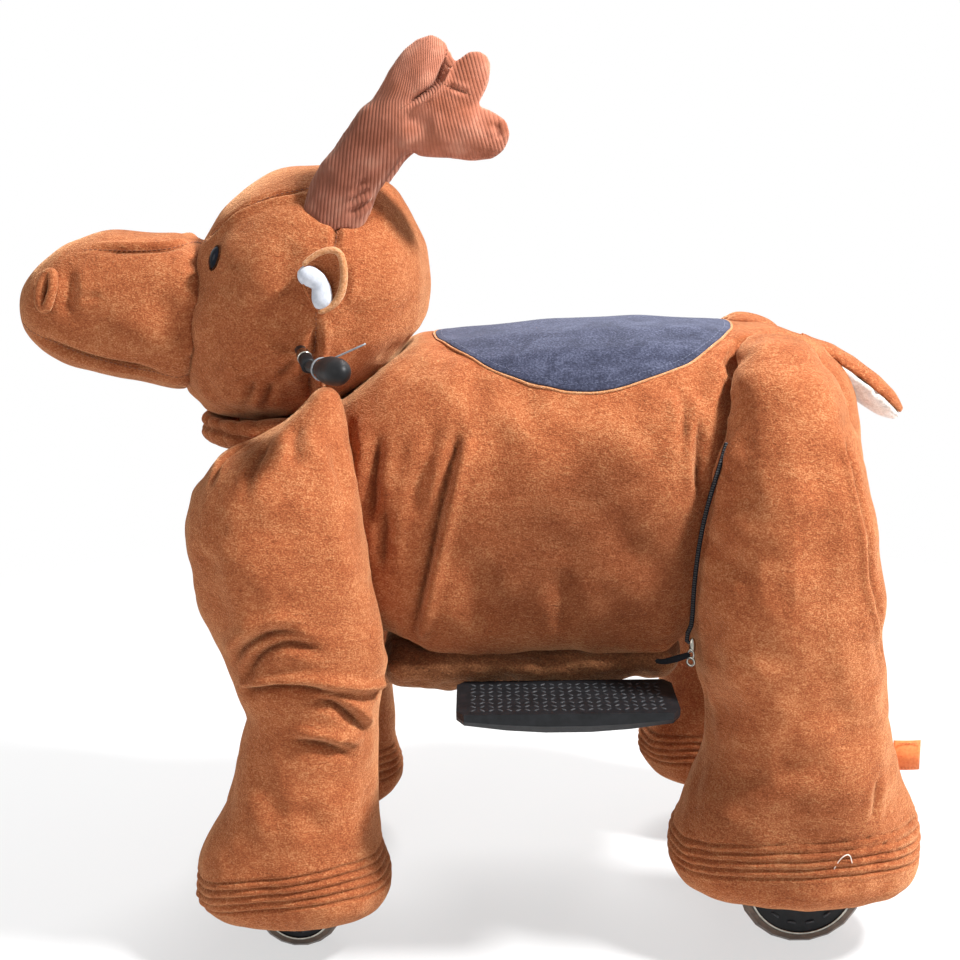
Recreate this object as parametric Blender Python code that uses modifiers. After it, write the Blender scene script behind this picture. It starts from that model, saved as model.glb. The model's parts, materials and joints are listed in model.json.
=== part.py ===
"""A plush ride-on animal on four wheels, as an assembly of separate pieces, in metres, +Z up.

The head points to -X, the tail to +X, and the animal's left side is at -Y. The head turns with
the handlebar and steers the two front wheels, each in its hoof, through a tie rod. The hind legs
hang on a hip shaft. Standing on the footrests swings them back against a return spring, and
sitting down lets the spring close them again: that is how the animal walks forward.
"""

import bisect
import math

import bmesh
import bpy
from mathutils import Matrix, Vector

# Fits
GAP = 0.0003  # left between two pieces that touch
CLEAR = 0.003  # around moving steel inside the stuffing

# Stance and wheels
LEG_Y = 0.155  # from the middle plane to the middle of a leg
FRONT_AXLE_X = -0.201
REAR_AXLE_X = 0.376
FRONT_WHEEL_RADIUS = 0.050
REAR_WHEEL_RADIUS = 0.0725
FRONT_TYRE_WIDTH = 0.024
REAR_TYRE_WIDTH = 0.030
TYRE_DEPTH = 0.010
TYRE_CORNER = 0.004
HUB_INSET = 0.001  # the hub's face lies this deep in its tyre
BOSS_RADIUS = 0.014
BOSS_PROUD = 0.003  # how far the boss stands out of the tyre's side
FRONT_AXLE_RADIUS = 0.004
REAR_AXLE_RADIUS = 0.006
AXLE_HEAD = 0.003
WHEEL_SIDES = 20

# Steering
STEER_LIMIT = 25.0  # degrees each way
KINGPIN_RADIUS = 0.008
COLUMN_RADIUS = 0.010
BUSH_WALL = 0.003
BUSH_FLANGE = 0.002
FORK_PLATE = 0.004
FORK_HALF_LENGTH = 0.015
CROWN_THICKNESS = 0.006
WHEEL_TOP_CLEAR = 0.006
LEG_TUBE_WALL = 0.003
LEG_TUBE_TOP = 0.550
NECK_TUBE_WALL = 0.005
ARM_LENGTH = 0.045
ARM_WIDTH = 0.024
ARM_THICKNESS = 0.010
PIN_RADIUS = 0.004
PIN_HEAD_RADIUS = 0.0065
PIN_HEAD = 0.003
TIE_ROD_THICKNESS = 0.008
TIE_ROD_WIDTH = 0.020
NECK_TUBE_LENGTH = 0.080
COLUMN_TOP = 0.725
HEAD_PLATE_RADIUS = 0.045
HEAD_PLATE_Z = 0.660
HEAD_PLATE_THICKNESS = 0.004

# Handlebar: half of it, from the column out to the grip
BAR_RADIUS = 0.0065
BAR_Z = 0.700
BAR_POINTS = ((-0.195, 0.060, 0.700), (-0.182, 0.120, 0.692), (-0.168, 0.163, 0.679))
GRIP_ROOT = (-0.158, 0.182, 0.677)
GRIP_TIP = (-0.123, 0.262, 0.684)
GRIP_RADIUS = 0.0145
GRIP_WALL_END = 0.008

# Frame
YOKE_SIZE = 0.030  # square bar across the front legs
BACKBONE_RADIUS = 0.015
HIP_X = 0.362
HIP_Z = 0.585
HIP_SHAFT_RADIUS = 0.010
HIP_HOUSING_LENGTH = 0.120
HIP_HOUSING_WALL = 0.006
HIND_TUBE_RADIUS = 0.0175
HIND_SWING = 8.0  # degrees, feet backward
CROSSBAR_RADIUS = 0.012
CROSSBAR_Z = 0.500
LEVER_RADIUS = 0.011
LEVER_FRONT_Z = 0.450
LEVER_BEND = 0.020  # the bend's radius at the tube's middle line
SPRING_SEAT_TOP = 0.0125  # over the lever's middle line
SPRING_SEAT_DEPTH = 0.016
STOP_X = 0.225
STOP_RADIUS = 0.015
SPRING_RADIUS = 0.007
SPRING_WIRE = 0.001
SPRING_TURNS = 6
SPRING_POINTS = 8  # to a turn
SPRING_PLUG_RADIUS = 0.005
SPRING_PLUG_LENGTH = 0.010
SEAT_POST_RADIUS = 0.012
SEAT_POSTS_X = (0.000, 0.265)

# Footrest
FOOTREST_X = 0.104
FOOTREST_TOP = 0.316
FOOTREST_LENGTH = 0.239
FOOTREST_INNER_Y = 0.150
FOOTREST_OUTER_Y = 0.252
FOOTREST_END_DEPTH = 0.012
FOOTREST_KEEL_DEPTH = 0.026
FOOTREST_BAR = (0.030, 0.012)  # length along X and height
FOOTREST_RIM = 0.008  # how far the bar stops short of the plate's outer edge

# Seat
BOARD_X = (-0.045, 0.302)
BOARD_HALF_WIDTH = 0.085
BOARD_Z = 0.612
BOARD_THICKNESS = 0.012
FOAM_THICKNESS = 0.028
SEAT_COVER_MIDDLE_X = 0.134
SEAT_COVER_HALF = (0.170, 0.140)  # along X and Y
SEAT_COVER_THICKNESS = 0.003

# The hollow inside the body, open underneath, in which the frame lies
BAY_HALF_WIDTH = 0.095
BAY_FRONT_X = -0.235
BAY_STEP_X = -0.060
BAY_HIP_X = 0.315
BAY_BACK_X = 0.402
BAY_HIP_Z = 0.625

# Stuffed forms. Lengthwise forms: (x, lowest z, highest z, half width).
BODY_KEYS = (
    (-0.280, 0.450, 0.505, 0.030),
    (-0.268, 0.405, 0.545, 0.072),
    (-0.230, 0.360, 0.576, 0.104),
    (-0.170, 0.347, 0.612, 0.124),
    (-0.090, 0.345, 0.676, 0.156),
    (-0.030, 0.345, 0.689, 0.172),
    (0.090, 0.345, 0.697, 0.178),
    (0.200, 0.345, 0.701, 0.176),
    (0.280, 0.346, 0.699, 0.158),
    (0.340, 0.350, 0.694, 0.130),
    (0.400, 0.362, 0.676, 0.118),
    (0.435, 0.400, 0.634, 0.094),
    (0.451, 0.460, 0.570, 0.048),
)
MUZZLE_KEYS = (
    (-0.511, 0.706, 0.738, 0.020),
    (-0.502, 0.690, 0.757, 0.044),
    (-0.486, 0.674, 0.776, 0.062),
    (-0.455, 0.657, 0.798, 0.076),
    (-0.407, 0.643, 0.810, 0.083),
    (-0.335, 0.625, 0.807, 0.089),
    (-0.280, 0.617, 0.804, 0.092),
    (-0.245, 0.622, 0.797, 0.085),
)
# Upright forms: (z, frontmost x, backmost x, half width, middle's y from the leg's middle)
FRONT_LEG_KEYS = (
    (0.048, -0.276, -0.136, 0.062, 0.0),
    (0.058, -0.305, -0.105, 0.080, 0.0),
    (0.080, -0.320, -0.094, 0.091, 0.0),
    (0.120, -0.315, -0.098, 0.089, 0.0),
    (0.174, -0.284, -0.107, 0.079, 0.0),
    (0.240, -0.265, -0.107, 0.068, 0.0),
    (0.285, -0.252, -0.099, 0.067, 0.0),
    (0.350, -0.275, -0.090, 0.077, 0.0),
    (0.421, -0.302, -0.098, 0.086, 0.0),
    (0.494, -0.315, -0.112, 0.088, 0.0),
    (0.540, -0.306, -0.120, 0.082, -0.002),
    (0.572, -0.276, -0.126, 0.072, -0.006),
    (0.592, -0.228, -0.130, 0.058, -0.011),
    (0.616, -0.190, -0.134, 0.042, -0.016),
    (0.638, -0.168, -0.139, 0.026, -0.020),
    (0.646, -0.162, -0.146, 0.013, -0.022),
)
HIND_LEG_KEYS = (
    (0.070, 0.272, 0.468, 0.070, 0.0),
    (0.080, 0.237, 0.498, 0.086, 0.0),
    (0.100, 0.227, 0.508, 0.095, 0.0),
    (0.130, 0.224, 0.508, 0.094, 0.0),
    (0.180, 0.238, 0.497, 0.087, 0.0),
    (0.240, 0.258, 0.481, 0.081, 0.0),
    (0.295, 0.260, 0.470, 0.081, 0.0),
    (0.355, 0.242, 0.461, 0.085, 0.0),
    (0.411, 0.241, 0.455, 0.088, 0.0),
    (0.502, 0.250, 0.442, 0.087, -0.004),
    (0.591, 0.270, 0.426, 0.080, -0.020),
    (0.650, 0.285, 0.402, 0.070, -0.045),
    (0.679, 0.298, 0.382, 0.052, -0.070),
    (0.692, 0.314, 0.362, 0.028, -0.085),
)
HEAD_KEYS = (
    (0.597, -0.280, -0.212, 0.034, 0.0),
    (0.605, -0.308, -0.172, 0.066, 0.0),
    (0.625, -0.325, -0.132, 0.092, 0.0),
    (0.661, -0.330, -0.082, 0.118, 0.0),
    (0.700, -0.327, -0.053, 0.132, 0.0),
    (0.745, -0.318, -0.042, 0.138, 0.0),
    (0.792, -0.300, -0.047, 0.130, 0.0),
    (0.828, -0.278, -0.062, 0.110, 0.0),
    (0.855, -0.247, -0.081, 0.082, 0.0),
    (0.872, -0.219, -0.113, 0.050, 0.0),
    (0.880, -0.193, -0.145, 0.022, 0.0),
)
FLAP_KEYS = (
    (-0.094, 0.316, 0.334, 0.120),
    (-0.086, 0.300, 0.360, 0.138),
    (-0.040, 0.291, 0.360, 0.146),
    (0.010, 0.297, 0.360, 0.147),
    (0.130, 0.300, 0.360, 0.147),
    (0.215, 0.304, 0.360, 0.138),
    (0.232, 0.318, 0.3445, 0.120),
)
# Tail: (x, z of the layers' joint, half width, thickness above it, thickness below it)
TAIL_KEYS = (
    (0.382, 0.672, 0.024, 0.012, 0.012),
    (0.420, 0.656, 0.030, 0.013, 0.016),
    (0.460, 0.629, 0.032, 0.014, 0.020),
    (0.492, 0.602, 0.025, 0.013, 0.016),
    (0.5068, 0.588, 0.012, 0.007, 0.007),
)
# Antler limbs: (x, z, radius in the antler's plane), each from its root to its tip
ANTLER_STEM = (
    (-0.146, 0.800, 0.038), (-0.116, 0.870, 0.0355), (-0.082, 0.921, 0.036), (-0.050, 0.933, 0.034)
)
ANTLER_FRONT = ((-0.075, 0.925, 0.034), (-0.050, 0.968, 0.031), (-0.037, 0.990, 0.027))
ANTLER_MIDDLE = ((-0.040, 0.930, 0.034), (-0.002, 0.960, 0.0235), (0.012, 0.981, 0.0195))
ANTLER_BACK = ((-0.040, 0.925, 0.033), (0.002, 0.917, 0.030), (0.024, 0.912, 0.0275))
ANTLER_Y = (0.087, 0.100)  # at the root and at the top
ANTLER_FLATNESS = 0.68

COLLAR_MIDDLE = (-0.209, 0.587)  # x and z
COLLAR_RADIUS = 0.087
COLLAR_ROLL = 0.020
EYE = (-0.275, 0.086, 0.788)
EYE_SIZE = (0.009, 0.008, 0.014)
EAR = (-0.156, 0.140, 0.762)
EAR_SIZE = (0.027, 0.016, 0.035)
EAR_TURN = 0.25
NOSTRIL = (-0.456, 0.066, 0.754)
NOSTRIL_SIZE = (0.017, 0.013, 0.024)
ZIP_Z = (0.366, 0.590)
ZIP_WIDTH_TURN = math.radians(7)
ZIP_TURN = (math.radians(163), math.radians(153))  # round the leg from its back, at each end
ZIP_THICKNESS = 0.002
ZIP_SLIDER = (0.008, 0.008, 0.016)
LABEL_Z = (0.206, 0.241)
LABEL_LENGTH = 0.022
LABEL_THICKNESS = 0.003
SWEEP_CLEAR = 0.003  # between the turning head and what it turns over
SWING_CLEAR = 0.0007

SIDES = {"left": -1, "right": 1}


# Scene, materials and modelling helpers


def collection(name):
    made_one = bpy.data.collections.new(name)
    bpy.context.scene.collection.children.link(made_one)
    return made_one


for old in list(bpy.data.objects):
    bpy.data.objects.remove(old, do_unlink=True)
PARTS = collection("Plush ride-on animal")
CUTTERS = collection("Cutters")


def finish(name, colour, roughness, metallic=0.0):
    """A Principled material; the colour is an sRGB hex value."""
    levels = [int(colour[i : i + 2], 16) / 255 for i in (0, 2, 4)]
    linear = [c / 12.92 if c <= 0.04045 else ((c + 0.055) / 1.055) ** 2.4 for c in levels]
    made_one = bpy.data.materials.new(name)
    made_one.use_nodes = True
    shader = made_one.node_tree.nodes["Principled BSDF"]
    shader.inputs["Base Color"].default_value = (*linear, 1.0)
    shader.inputs["Roughness"].default_value = roughness
    shader.inputs["Metallic"].default_value = metallic
    return made_one


def adopt(name, mesh, look=None):
    """Makes an object of a mesh: a part if it has a look, and otherwise a cutter."""
    obj = bpy.data.objects.new(name, mesh)
    if look is None:
        CUTTERS.objects.link(obj)
        obj.hide_render = True
        obj.display_type = "WIRE"
    else:
        PARTS.objects.link(obj)
        mesh.materials.clear()
        mesh.materials.append(FINISHES[look])
    return obj


def close(name, bm, look=None):
    """Turns a bmesh into an object whose faces point outwards."""
    bmesh.ops.recalc_face_normals(bm, faces=bm.faces)
    mesh = bpy.data.meshes.new(name)
    bm.to_mesh(mesh)
    bm.free()
    return adopt(name, mesh, look)


def applied(obj):
    """Turns an object's modifiers into its mesh."""
    graph = bpy.context.evaluated_depsgraph_get()
    mesh = bpy.data.meshes.new_from_object(obj.evaluated_get(graph))
    obj.modifiers.clear()
    spent = obj.data
    obj.data = mesh
    bpy.data.meshes.remove(spent)
    return obj


def boolean(obj, other, operation):
    step = obj.modifiers.new(operation.title(), "BOOLEAN")
    step.operation = operation
    step.object = other
    return applied(obj)


def cut(obj, *cutters):
    for cutter in cutters:
        boolean(obj, cutter, "DIFFERENCE")
    return obj


def join(obj, *pieces):
    for piece in pieces:
        boolean(obj, piece, "UNION")
        bpy.data.objects.remove(piece, do_unlink=True)
    return obj


def dress(obj, name, look):
    """Makes a part of a cutter that has its final shape."""
    mesh = obj.data.copy()
    bpy.data.objects.remove(obj, do_unlink=True)
    return adopt(name, mesh, look)


def block(name, low, high, look=None):
    low, high = Vector(low), Vector(high)
    bm = bmesh.new()
    place = Matrix.Translation((low + high) / 2) @ Matrix.Diagonal((*(high - low), 1))
    bmesh.ops.create_cube(bm, size=1.0, matrix=place)
    return close(name, bm, look)


def rod(name, radius, start, end, look=None, sides=16):
    """A cylinder from one point to another."""
    start, end = Vector(start), Vector(end)
    way = end - start
    turn = way.to_track_quat("Z", "Y").to_matrix().to_4x4()
    bm = bmesh.new()
    bmesh.ops.create_cone(
        bm,
        cap_ends=True,
        segments=sides,
        radius1=radius,
        radius2=radius,
        depth=way.length,
        matrix=Matrix.Translation((start + end) / 2) @ turn,
    )
    return close(name, bm, look)


def tube(name, outer, inner, start, end, look=None):
    start, end = Vector(start), Vector(end)
    past = (end - start).normalized() * CLEAR
    bore = rod(name + "_bore", inner, start - past, end + past)
    return cut(rod(name, outer, start, end, look), bore)


def ball(name, middle, half_sizes, look=None, turn=0.0, sides=12):
    """An ellipsoid, turned about Y."""
    place = Matrix.Translation(middle) @ Matrix.Rotation(turn, 4, "Y") @ Matrix.Diagonal((*half_sizes, 1))
    bm = bmesh.new()
    bmesh.ops.create_uvsphere(bm, u_segments=sides, v_segments=sides // 2, radius=1.0, matrix=place)
    return close(name, bm, look)


def turned(name, profile, place, look=None, sides=16):
    """A closed profile of (radius, height) points turned about Z by a Screw modifier, then placed."""
    mesh = bpy.data.meshes.new(name)
    count = len(profile)
    pairs = [(i, (i + 1) % count) for i in range(count)]
    edges = [(i, j) for i, j in pairs if profile[i][0] or profile[j][0]]
    mesh.from_pydata([(radius, 0.0, height) for radius, height in profile], edges, [])
    obj = adopt(name, mesh, look)
    screw = obj.modifiers.new("Turn", "SCREW")
    screw.steps = screw.render_steps = sides
    screw.use_merge_vertices = True
    screw.merge_threshold = 0.00001
    applied(obj)
    bm = bmesh.new()
    bm.from_mesh(obj.data)
    bmesh.ops.transform(bm, matrix=place, verts=bm.verts)
    bmesh.ops.recalc_face_normals(bm, faces=bm.faces)
    bm.to_mesh(obj.data)
    bm.free()
    return obj


def wire(name, points, radius, look=None, resolution=2):
    """A round bar along points: a curve with a bevel, made a mesh with its caps welded."""
    data = bpy.data.curves.new(name, "CURVE")
    data.dimensions = "3D"
    data.bevel_depth = radius
    data.bevel_resolution = resolution
    data.use_fill_caps = True
    spline = data.splines.new("POLY")
    spline.points.add(len(points) - 1)
    for point, place in zip(spline.points, points):
        point.co = (*place, 1.0)
    curve = bpy.data.objects.new(name, data)
    CUTTERS.objects.link(curve)
    graph = bpy.context.evaluated_depsgraph_get()
    mesh = bpy.data.meshes.new_from_object(curve.evaluated_get(graph))
    bpy.data.objects.remove(curve, do_unlink=True)
    bm = bmesh.new()
    bm.from_mesh(mesh)
    bpy.data.meshes.remove(mesh)
    bmesh.ops.remove_doubles(bm, verts=bm.verts, dist=0.00001)
    return close(name, bm, look)


def bent(start, corner, end, radius, steps=4):
    """Points of a bar that runs straight to a rounded corner and straight on."""
    corner = Vector(corner)
    back, on = (Vector(start) - corner).normalized(), (Vector(end) - corner).normalized()
    half = back.angle(on) / 2
    middle = corner + (back + on).normalized() * radius / math.sin(half)
    first = (corner + back * radius / math.tan(half) - middle).normalized()
    last = (corner + on * radius / math.tan(half) - middle).normalized()
    arc = [middle + first.slerp(last, n / steps) * radius for n in range(steps + 1)]
    return [Vector(start), *arc, Vector(end)]


def smooth(keys, at):
    """The keys' values at one place, on a smooth curve through them."""
    places = [key[0] for key in keys]
    i = min(max(bisect.bisect_right(places, at) - 1, 0), len(keys) - 2)
    span = places[i + 1] - places[i]
    t = (at - places[i]) / span

    def slope(n, column):
        low, high = max(n - 1, 0), min(n + 1, len(keys) - 1)
        return (keys[high][column] - keys[low][column]) / (places[high] - places[low])

    values = []
    for column in range(1, len(keys[0])):
        a, b = keys[i][column], keys[i + 1][column]
        bend_a, bend_b = slope(i, column) * span, slope(i + 1, column) * span
        values.append(
            (2 * t**3 - 3 * t**2 + 1) * a
            + (t**3 - 2 * t**2 + t) * bend_a
            + (3 * t**2 - 2 * t**3) * b
            + (t**3 - t**2) * bend_b
        )
    return values


def places_along(keys, between):
    """The keys' places, with some more between each two."""
    found = []
    for first, second in zip(keys, keys[1:]):
        found += [first[0] + (second[0] - first[0]) * n / between for n in range(between)]
    return found + [keys[-1][0]]


def swell(angle, power):
    """The two sides of a superellipse at an angle: 2 is round, and more is squarer."""
    across, up = math.cos(angle), math.sin(angle)
    return (
        math.copysign(abs(across) ** (2 / power), across),
        math.copysign(abs(up) ** (2 / power), up),
    )


def loft(name, rings, look=None):
    """A closed skin over rings of as many points each."""
    bm = bmesh.new()
    rows = [[bm.verts.new(point) for point in ring] for ring in rings]
    for row, after in zip(rows, rows[1:]):
        for n in range(len(row)):
            m = (n + 1) % len(row)
            bm.faces.new((row[n], row[m], after[m], after[n]))
    bm.faces.new(rows[0][::-1])
    bm.faces.new(rows[-1])
    bmesh.ops.triangulate(bm, faces=bm.faces)
    return close(name, bm, look)


def long_form(name, keys, look=None, grow=0.0, sides=24, low_power=2.0, between=1):
    """A stuffed form along X. grow makes it larger all round, to cut a neighbour with."""
    rings = []
    places = places_along(keys, between)
    for x in places:
        low, high, half = smooth(keys, x)
        middle, tall = (low + high) / 2, (high - low) / 2 + grow
        end = {places[0]: -grow, places[-1]: grow}.get(x, 0.0)
        ring = []
        for n in range(sides):
            angle = 2 * math.pi * n / sides
            across, up = swell(angle, 2.3 if angle < math.pi else low_power)
            ring.append((x + end, (half + grow) * across, middle + tall * up))
        rings.append(ring)
    return loft(name, rings, look)


def upright_ring(keys, z, side, grow, sides, offset=None):
    """One level ring of an upright form, as a list of points."""
    front, back, half, shift = smooth(keys, z)
    middle_y = side * (LEG_Y + shift) if offset is None else offset
    middle_x, length = (front + back) / 2, (back - front) / 2 + grow
    ring = []
    for n in range(sides):
        across, up = swell(2 * math.pi * n / sides, 2.2)
        ring.append((middle_x + length * across, middle_y + (half + grow) * up * (side or 1), z))
    return ring


def upright_form(name, keys, side, look=None, grow=0.0, sides=16):
    """A stuffed form along Z: a leg on one side, or the head where side is 0."""
    offset = 0.0 if side == 0 else None
    places = places_along(keys, 1)
    rings = []
    for z in places:
        ring = upright_ring(keys, z, side, grow, sides, offset)
        end = {places[0]: -grow, places[-1]: grow}.get(z, 0.0)
        rings.append([(x, y, level + end) for x, y, level in ring])
    return loft(name, rings, look)


def turned_copy(obj, pivot, axis, degrees):
    """A copy of a cutter, turned about an axis through a pivot."""
    copy = adopt(obj.name + "_turned", obj.data.copy())
    around = Matrix.Translation(pivot) @ Matrix.Rotation(math.radians(degrees), 4, axis)
    copy.data.transform(around @ Matrix.Translation(-Vector(pivot)))
    return copy


FINISHES = {
    "plush": finish("Brown plush", "B5652F", 0.9),
    "white_plush": finish("White plush", "E9E6E0", 0.9),
    "velvet": finish("Slate velvet", "4A5068", 0.85),
    "corduroy": finish("Corduroy", "A8604A", 0.85),
    "steel": finish("Painted steel", "1C1D20", 0.45, 0.2),
    "bright_steel": finish("Zinc-plated steel", "B9BCC0", 0.3, 1.0),
    "plastic": finish("Black moulded plastic", "17181A", 0.5),
    "rubber": finish("Black rubber", "111111", 0.75),
    "tyre": finish("Polyurethane tyre", "6A4A36", 0.55),
    "foam": finish("Seat foam", "D8CFA8", 0.95),
    "board": finish("Plywood", "B98E5C", 0.7),
    "bush": finish("Acetal", "E4E2DA", 0.4),
    "eye": finish("Glossy eye", "0B0F1C", 0.08),
    "label": finish("Orange tape", "D9742B", 0.8),
    "zip": finish("Zip tape", "15171B", 0.8),
}


# Levels and sizes that follow from the values above

HALF_STEP = math.pi / WHEEL_SIDES
FRONT_AXLE_Z = FRONT_WHEEL_RADIUS * math.cos(HALF_STEP)  # a flat of the faceted tyre is on the floor
REAR_AXLE_Z = REAR_WHEEL_RADIUS * math.cos(HALF_STEP)
CROWN_Z = FRONT_AXLE_Z + FRONT_WHEEL_RADIUS + WHEEL_TOP_CLEAR
LEG_TUBE_BOTTOM = CROWN_Z + CROWN_THICKNESS + 2 * GAP + BUSH_FLANGE
LEG_BORE = KINGPIN_RADIUS + BUSH_WALL + 2 * GAP
LEG_TUBE_RADIUS = LEG_BORE + LEG_TUBE_WALL
ARM_Z = LEG_TUBE_TOP + BUSH_FLANGE + GAP
ROD_Z = ARM_Z + ARM_THICKNESS + GAP
PIN_HEAD_Z = ROD_Z + TIE_ROD_THICKNESS + GAP
ARM_X = FRONT_AXLE_X + ARM_LENGTH
NECK_TUBE_RADIUS = COLUMN_RADIUS + GAP + NECK_TUBE_WALL
NECK_TUBE_BOTTOM = LEG_TUBE_TOP - NECK_TUBE_LENGTH
YOKE_TOP = NECK_TUBE_BOTTOM
YOKE_Z = YOKE_TOP - YOKE_SIZE / 2
HIP = (HIP_X, 0.0, HIP_Z)
HIP_HOUSING_RADIUS = HIP_SHAFT_RADIUS + GAP + HIP_HOUSING_WALL
BACKBONE_START = Vector((FRONT_AXLE_X + YOKE_SIZE / 2 + GAP, 0.0, YOKE_Z))
BACKBONE_END = Vector(HIP)
BACKBONE_SLOPE = math.atan2(BACKBONE_END.z - BACKBONE_START.z, BACKBONE_END.x - BACKBONE_START.x)
REAR_CROWN_Z = REAR_AXLE_Z + REAR_WHEEL_RADIUS + WHEEL_TOP_CLEAR
HIND_TUBE_FOOT = (REAR_AXLE_X, REAR_CROWN_Z + CROWN_THICKNESS / 2)
HIND_TUBE_TOP_Z = HIP_Z + HIND_TUBE_RADIUS + CLEAR
BODY_FLAP_TOP = FLAP_KEYS[-1][2]


def backbone_z(x):
    """Height of the backbone's middle line."""
    share = (x - BACKBONE_START.x) / (BACKBONE_END.x - BACKBONE_START.x)
    return BACKBONE_START.z + share * (BACKBONE_END.z - BACKBONE_START.z)


def hind_tube_x(z):
    """Place of a hind leg tube's middle line, from the wheel's crown up through the hip."""
    share = (z - HIND_TUBE_FOOT[1]) / (HIP_Z - HIND_TUBE_FOOT[1])
    return HIND_TUBE_FOOT[0] + share * (HIP_X - HIND_TUBE_FOOT[0])


CROSSBAR_X = hind_tube_x(CROSSBAR_Z)
SPRING_LOW = LEVER_FRONT_Z + SPRING_SEAT_TOP + SPRING_WIRE + 2 * GAP
SPRING_HIGH = backbone_z(FOOTREST_X) - BACKBONE_RADIUS / math.cos(BACKBONE_SLOPE) - SPRING_WIRE - 2 * GAP


def lever_z(x):
    """Height of the pedal lever's middle line."""
    share = (x - FOOTREST_X) / (CROSSBAR_X - FOOTREST_X)
    return LEVER_FRONT_Z + share * (CROSSBAR_Z - LEVER_FRONT_Z)


# Wheels


def wheel(which, side_name, axle_x, axle_z, radius, width, axle_radius):
    """A tyre and its hub, turned about the axle."""
    y = SIDES[side_name] * LEG_Y
    place = Matrix.Translation((axle_x, y, axle_z)) @ Matrix.Rotation(math.pi / 2, 4, "X")
    place = place @ Matrix.Rotation(HALF_STEP, 4, "Z")
    seat, half = radius - TYRE_DEPTH, width / 2
    tyre = (
        (seat, -half),
        (radius - TYRE_CORNER, -half),
        (radius, TYRE_CORNER - half),
        (radius, half - TYRE_CORNER),
        (radius - TYRE_CORNER, half),
        (seat, half),
    )
    rim, face, boss, bore = seat - GAP, half - HUB_INSET, half + BOSS_PROUD, axle_radius + GAP
    hub = (
        (bore, -boss),
        (BOSS_RADIUS, -boss),
        (BOSS_RADIUS, -face),
        (rim, -face),
        (rim, face),
        (BOSS_RADIUS, face),
        (BOSS_RADIUS, boss),
        (bore, boss),
    )
    turned(f"{which}_tyre_{side_name}", tyre, place, "tyre", WHEEL_SIDES)
    turned(f"{which}_hub_{side_name}", hub, place, "plastic", WHEEL_SIDES)


def axle(name, x, y, z, radius, half_length, look=None):
    """A bolt across a fork, with a head and a nut."""
    bolt = rod(name, radius, (x, y - half_length, z), (x, y + half_length, z), look, 12)
    ends = []
    for way in (-1, 1):
        inner = y + way * (half_length - AXLE_HEAD)
        head = rod(name + "_head", radius * 1.7, (x, inner, z), (x, y + way * half_length, z), None, 6)
        ends.append(head)
    return join(bolt, *ends)


def fork_block(name, x, y, axle_z, crown_z, half_length, half_width, axle_radius, look):
    """A fork over a wheel: a crown and two cheeks, with the hole for the axle."""
    top, outer = crown_z + CROWN_THICKNESS, half_width + FORK_PLATE
    low = axle_z - FORK_HALF_LENGTH
    fork = block(name, (x - half_length, y - outer, low), (x + half_length, y + outer, top), look)
    slot = block(
        name + "_slot",
        (x - 2 * half_length, y - half_width, low - CLEAR),
        (x + 2 * half_length, y + half_width, crown_z),
    )
    reach = 2 * outer
    hole = rod(name + "_axle_hole", axle_radius + GAP, (x, y - reach, axle_z), (x, y + reach, axle_z))
    return cut(fork, slot, hole)


def link_plate(name, ends, radius, low, high, look=None, sides=16):
    """A flat bar with round ends about two upright axes: the hull of two short cylinders."""
    bm = bmesh.new()
    for x, y in ends:
        place = Matrix.Translation((x, y, (low + high) / 2))
        bmesh.ops.create_cone(
            bm, cap_ends=True, segments=sides, radius1=radius, radius2=radius, depth=high - low, matrix=place
        )
    found = bmesh.ops.convex_hull(bm, input=bm.verts)
    bmesh.ops.delete(bm, geom=found["geom_interior"] + found["geom_unused"], context="VERTS")
    bmesh.ops.delete(bm, geom=found["geom_holes"], context="FACES_ONLY")
    bmesh.ops.dissolve_limit(bm, angle_limit=0.001, verts=bm.verts, edges=bm.edges)
    return close(name, bm, look)


# Steering


def kingpin_bush(name, y):
    """The flanged sleeve between a kingpin and its leg tube."""
    inner, outer = KINGPIN_RADIUS + GAP, KINGPIN_RADIUS + GAP + BUSH_WALL
    foot, top = LEG_TUBE_BOTTOM - GAP, LEG_TUBE_TOP + BUSH_FLANGE
    low = foot - BUSH_FLANGE
    profile = (
        (inner, low),
        (LEG_TUBE_RADIUS, low),
        (LEG_TUBE_RADIUS, foot),
        (outer, foot),
        (outer, top),
        (inner, top),
    )
    turned(name, profile, Matrix.Translation((FRONT_AXLE_X, y, 0.0)), "bush")


def steering_arm(name, x, y, look=None):
    """A flat arm with its pin, from a vertical shaft at (x, y) back to the tie rod."""
    tip = x + ARM_LENGTH
    arm = link_plate(name, ((x, y), (tip, y)), ARM_WIDTH / 2, ARM_Z, ARM_Z + ARM_THICKNESS, look)
    middle = ARM_Z + ARM_THICKNESS / 2
    pin = rod(name + "_pin", PIN_RADIUS, (tip, y, middle), (tip, y, PIN_HEAD_Z + PIN_HEAD / 2), None, 16)
    head = rod(
        name + "_pin_head",
        PIN_HEAD_RADIUS,
        (tip, y, PIN_HEAD_Z),
        (tip, y, PIN_HEAD_Z + PIN_HEAD),
        None,
        16,
    )
    return join(arm, pin, head)


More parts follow.
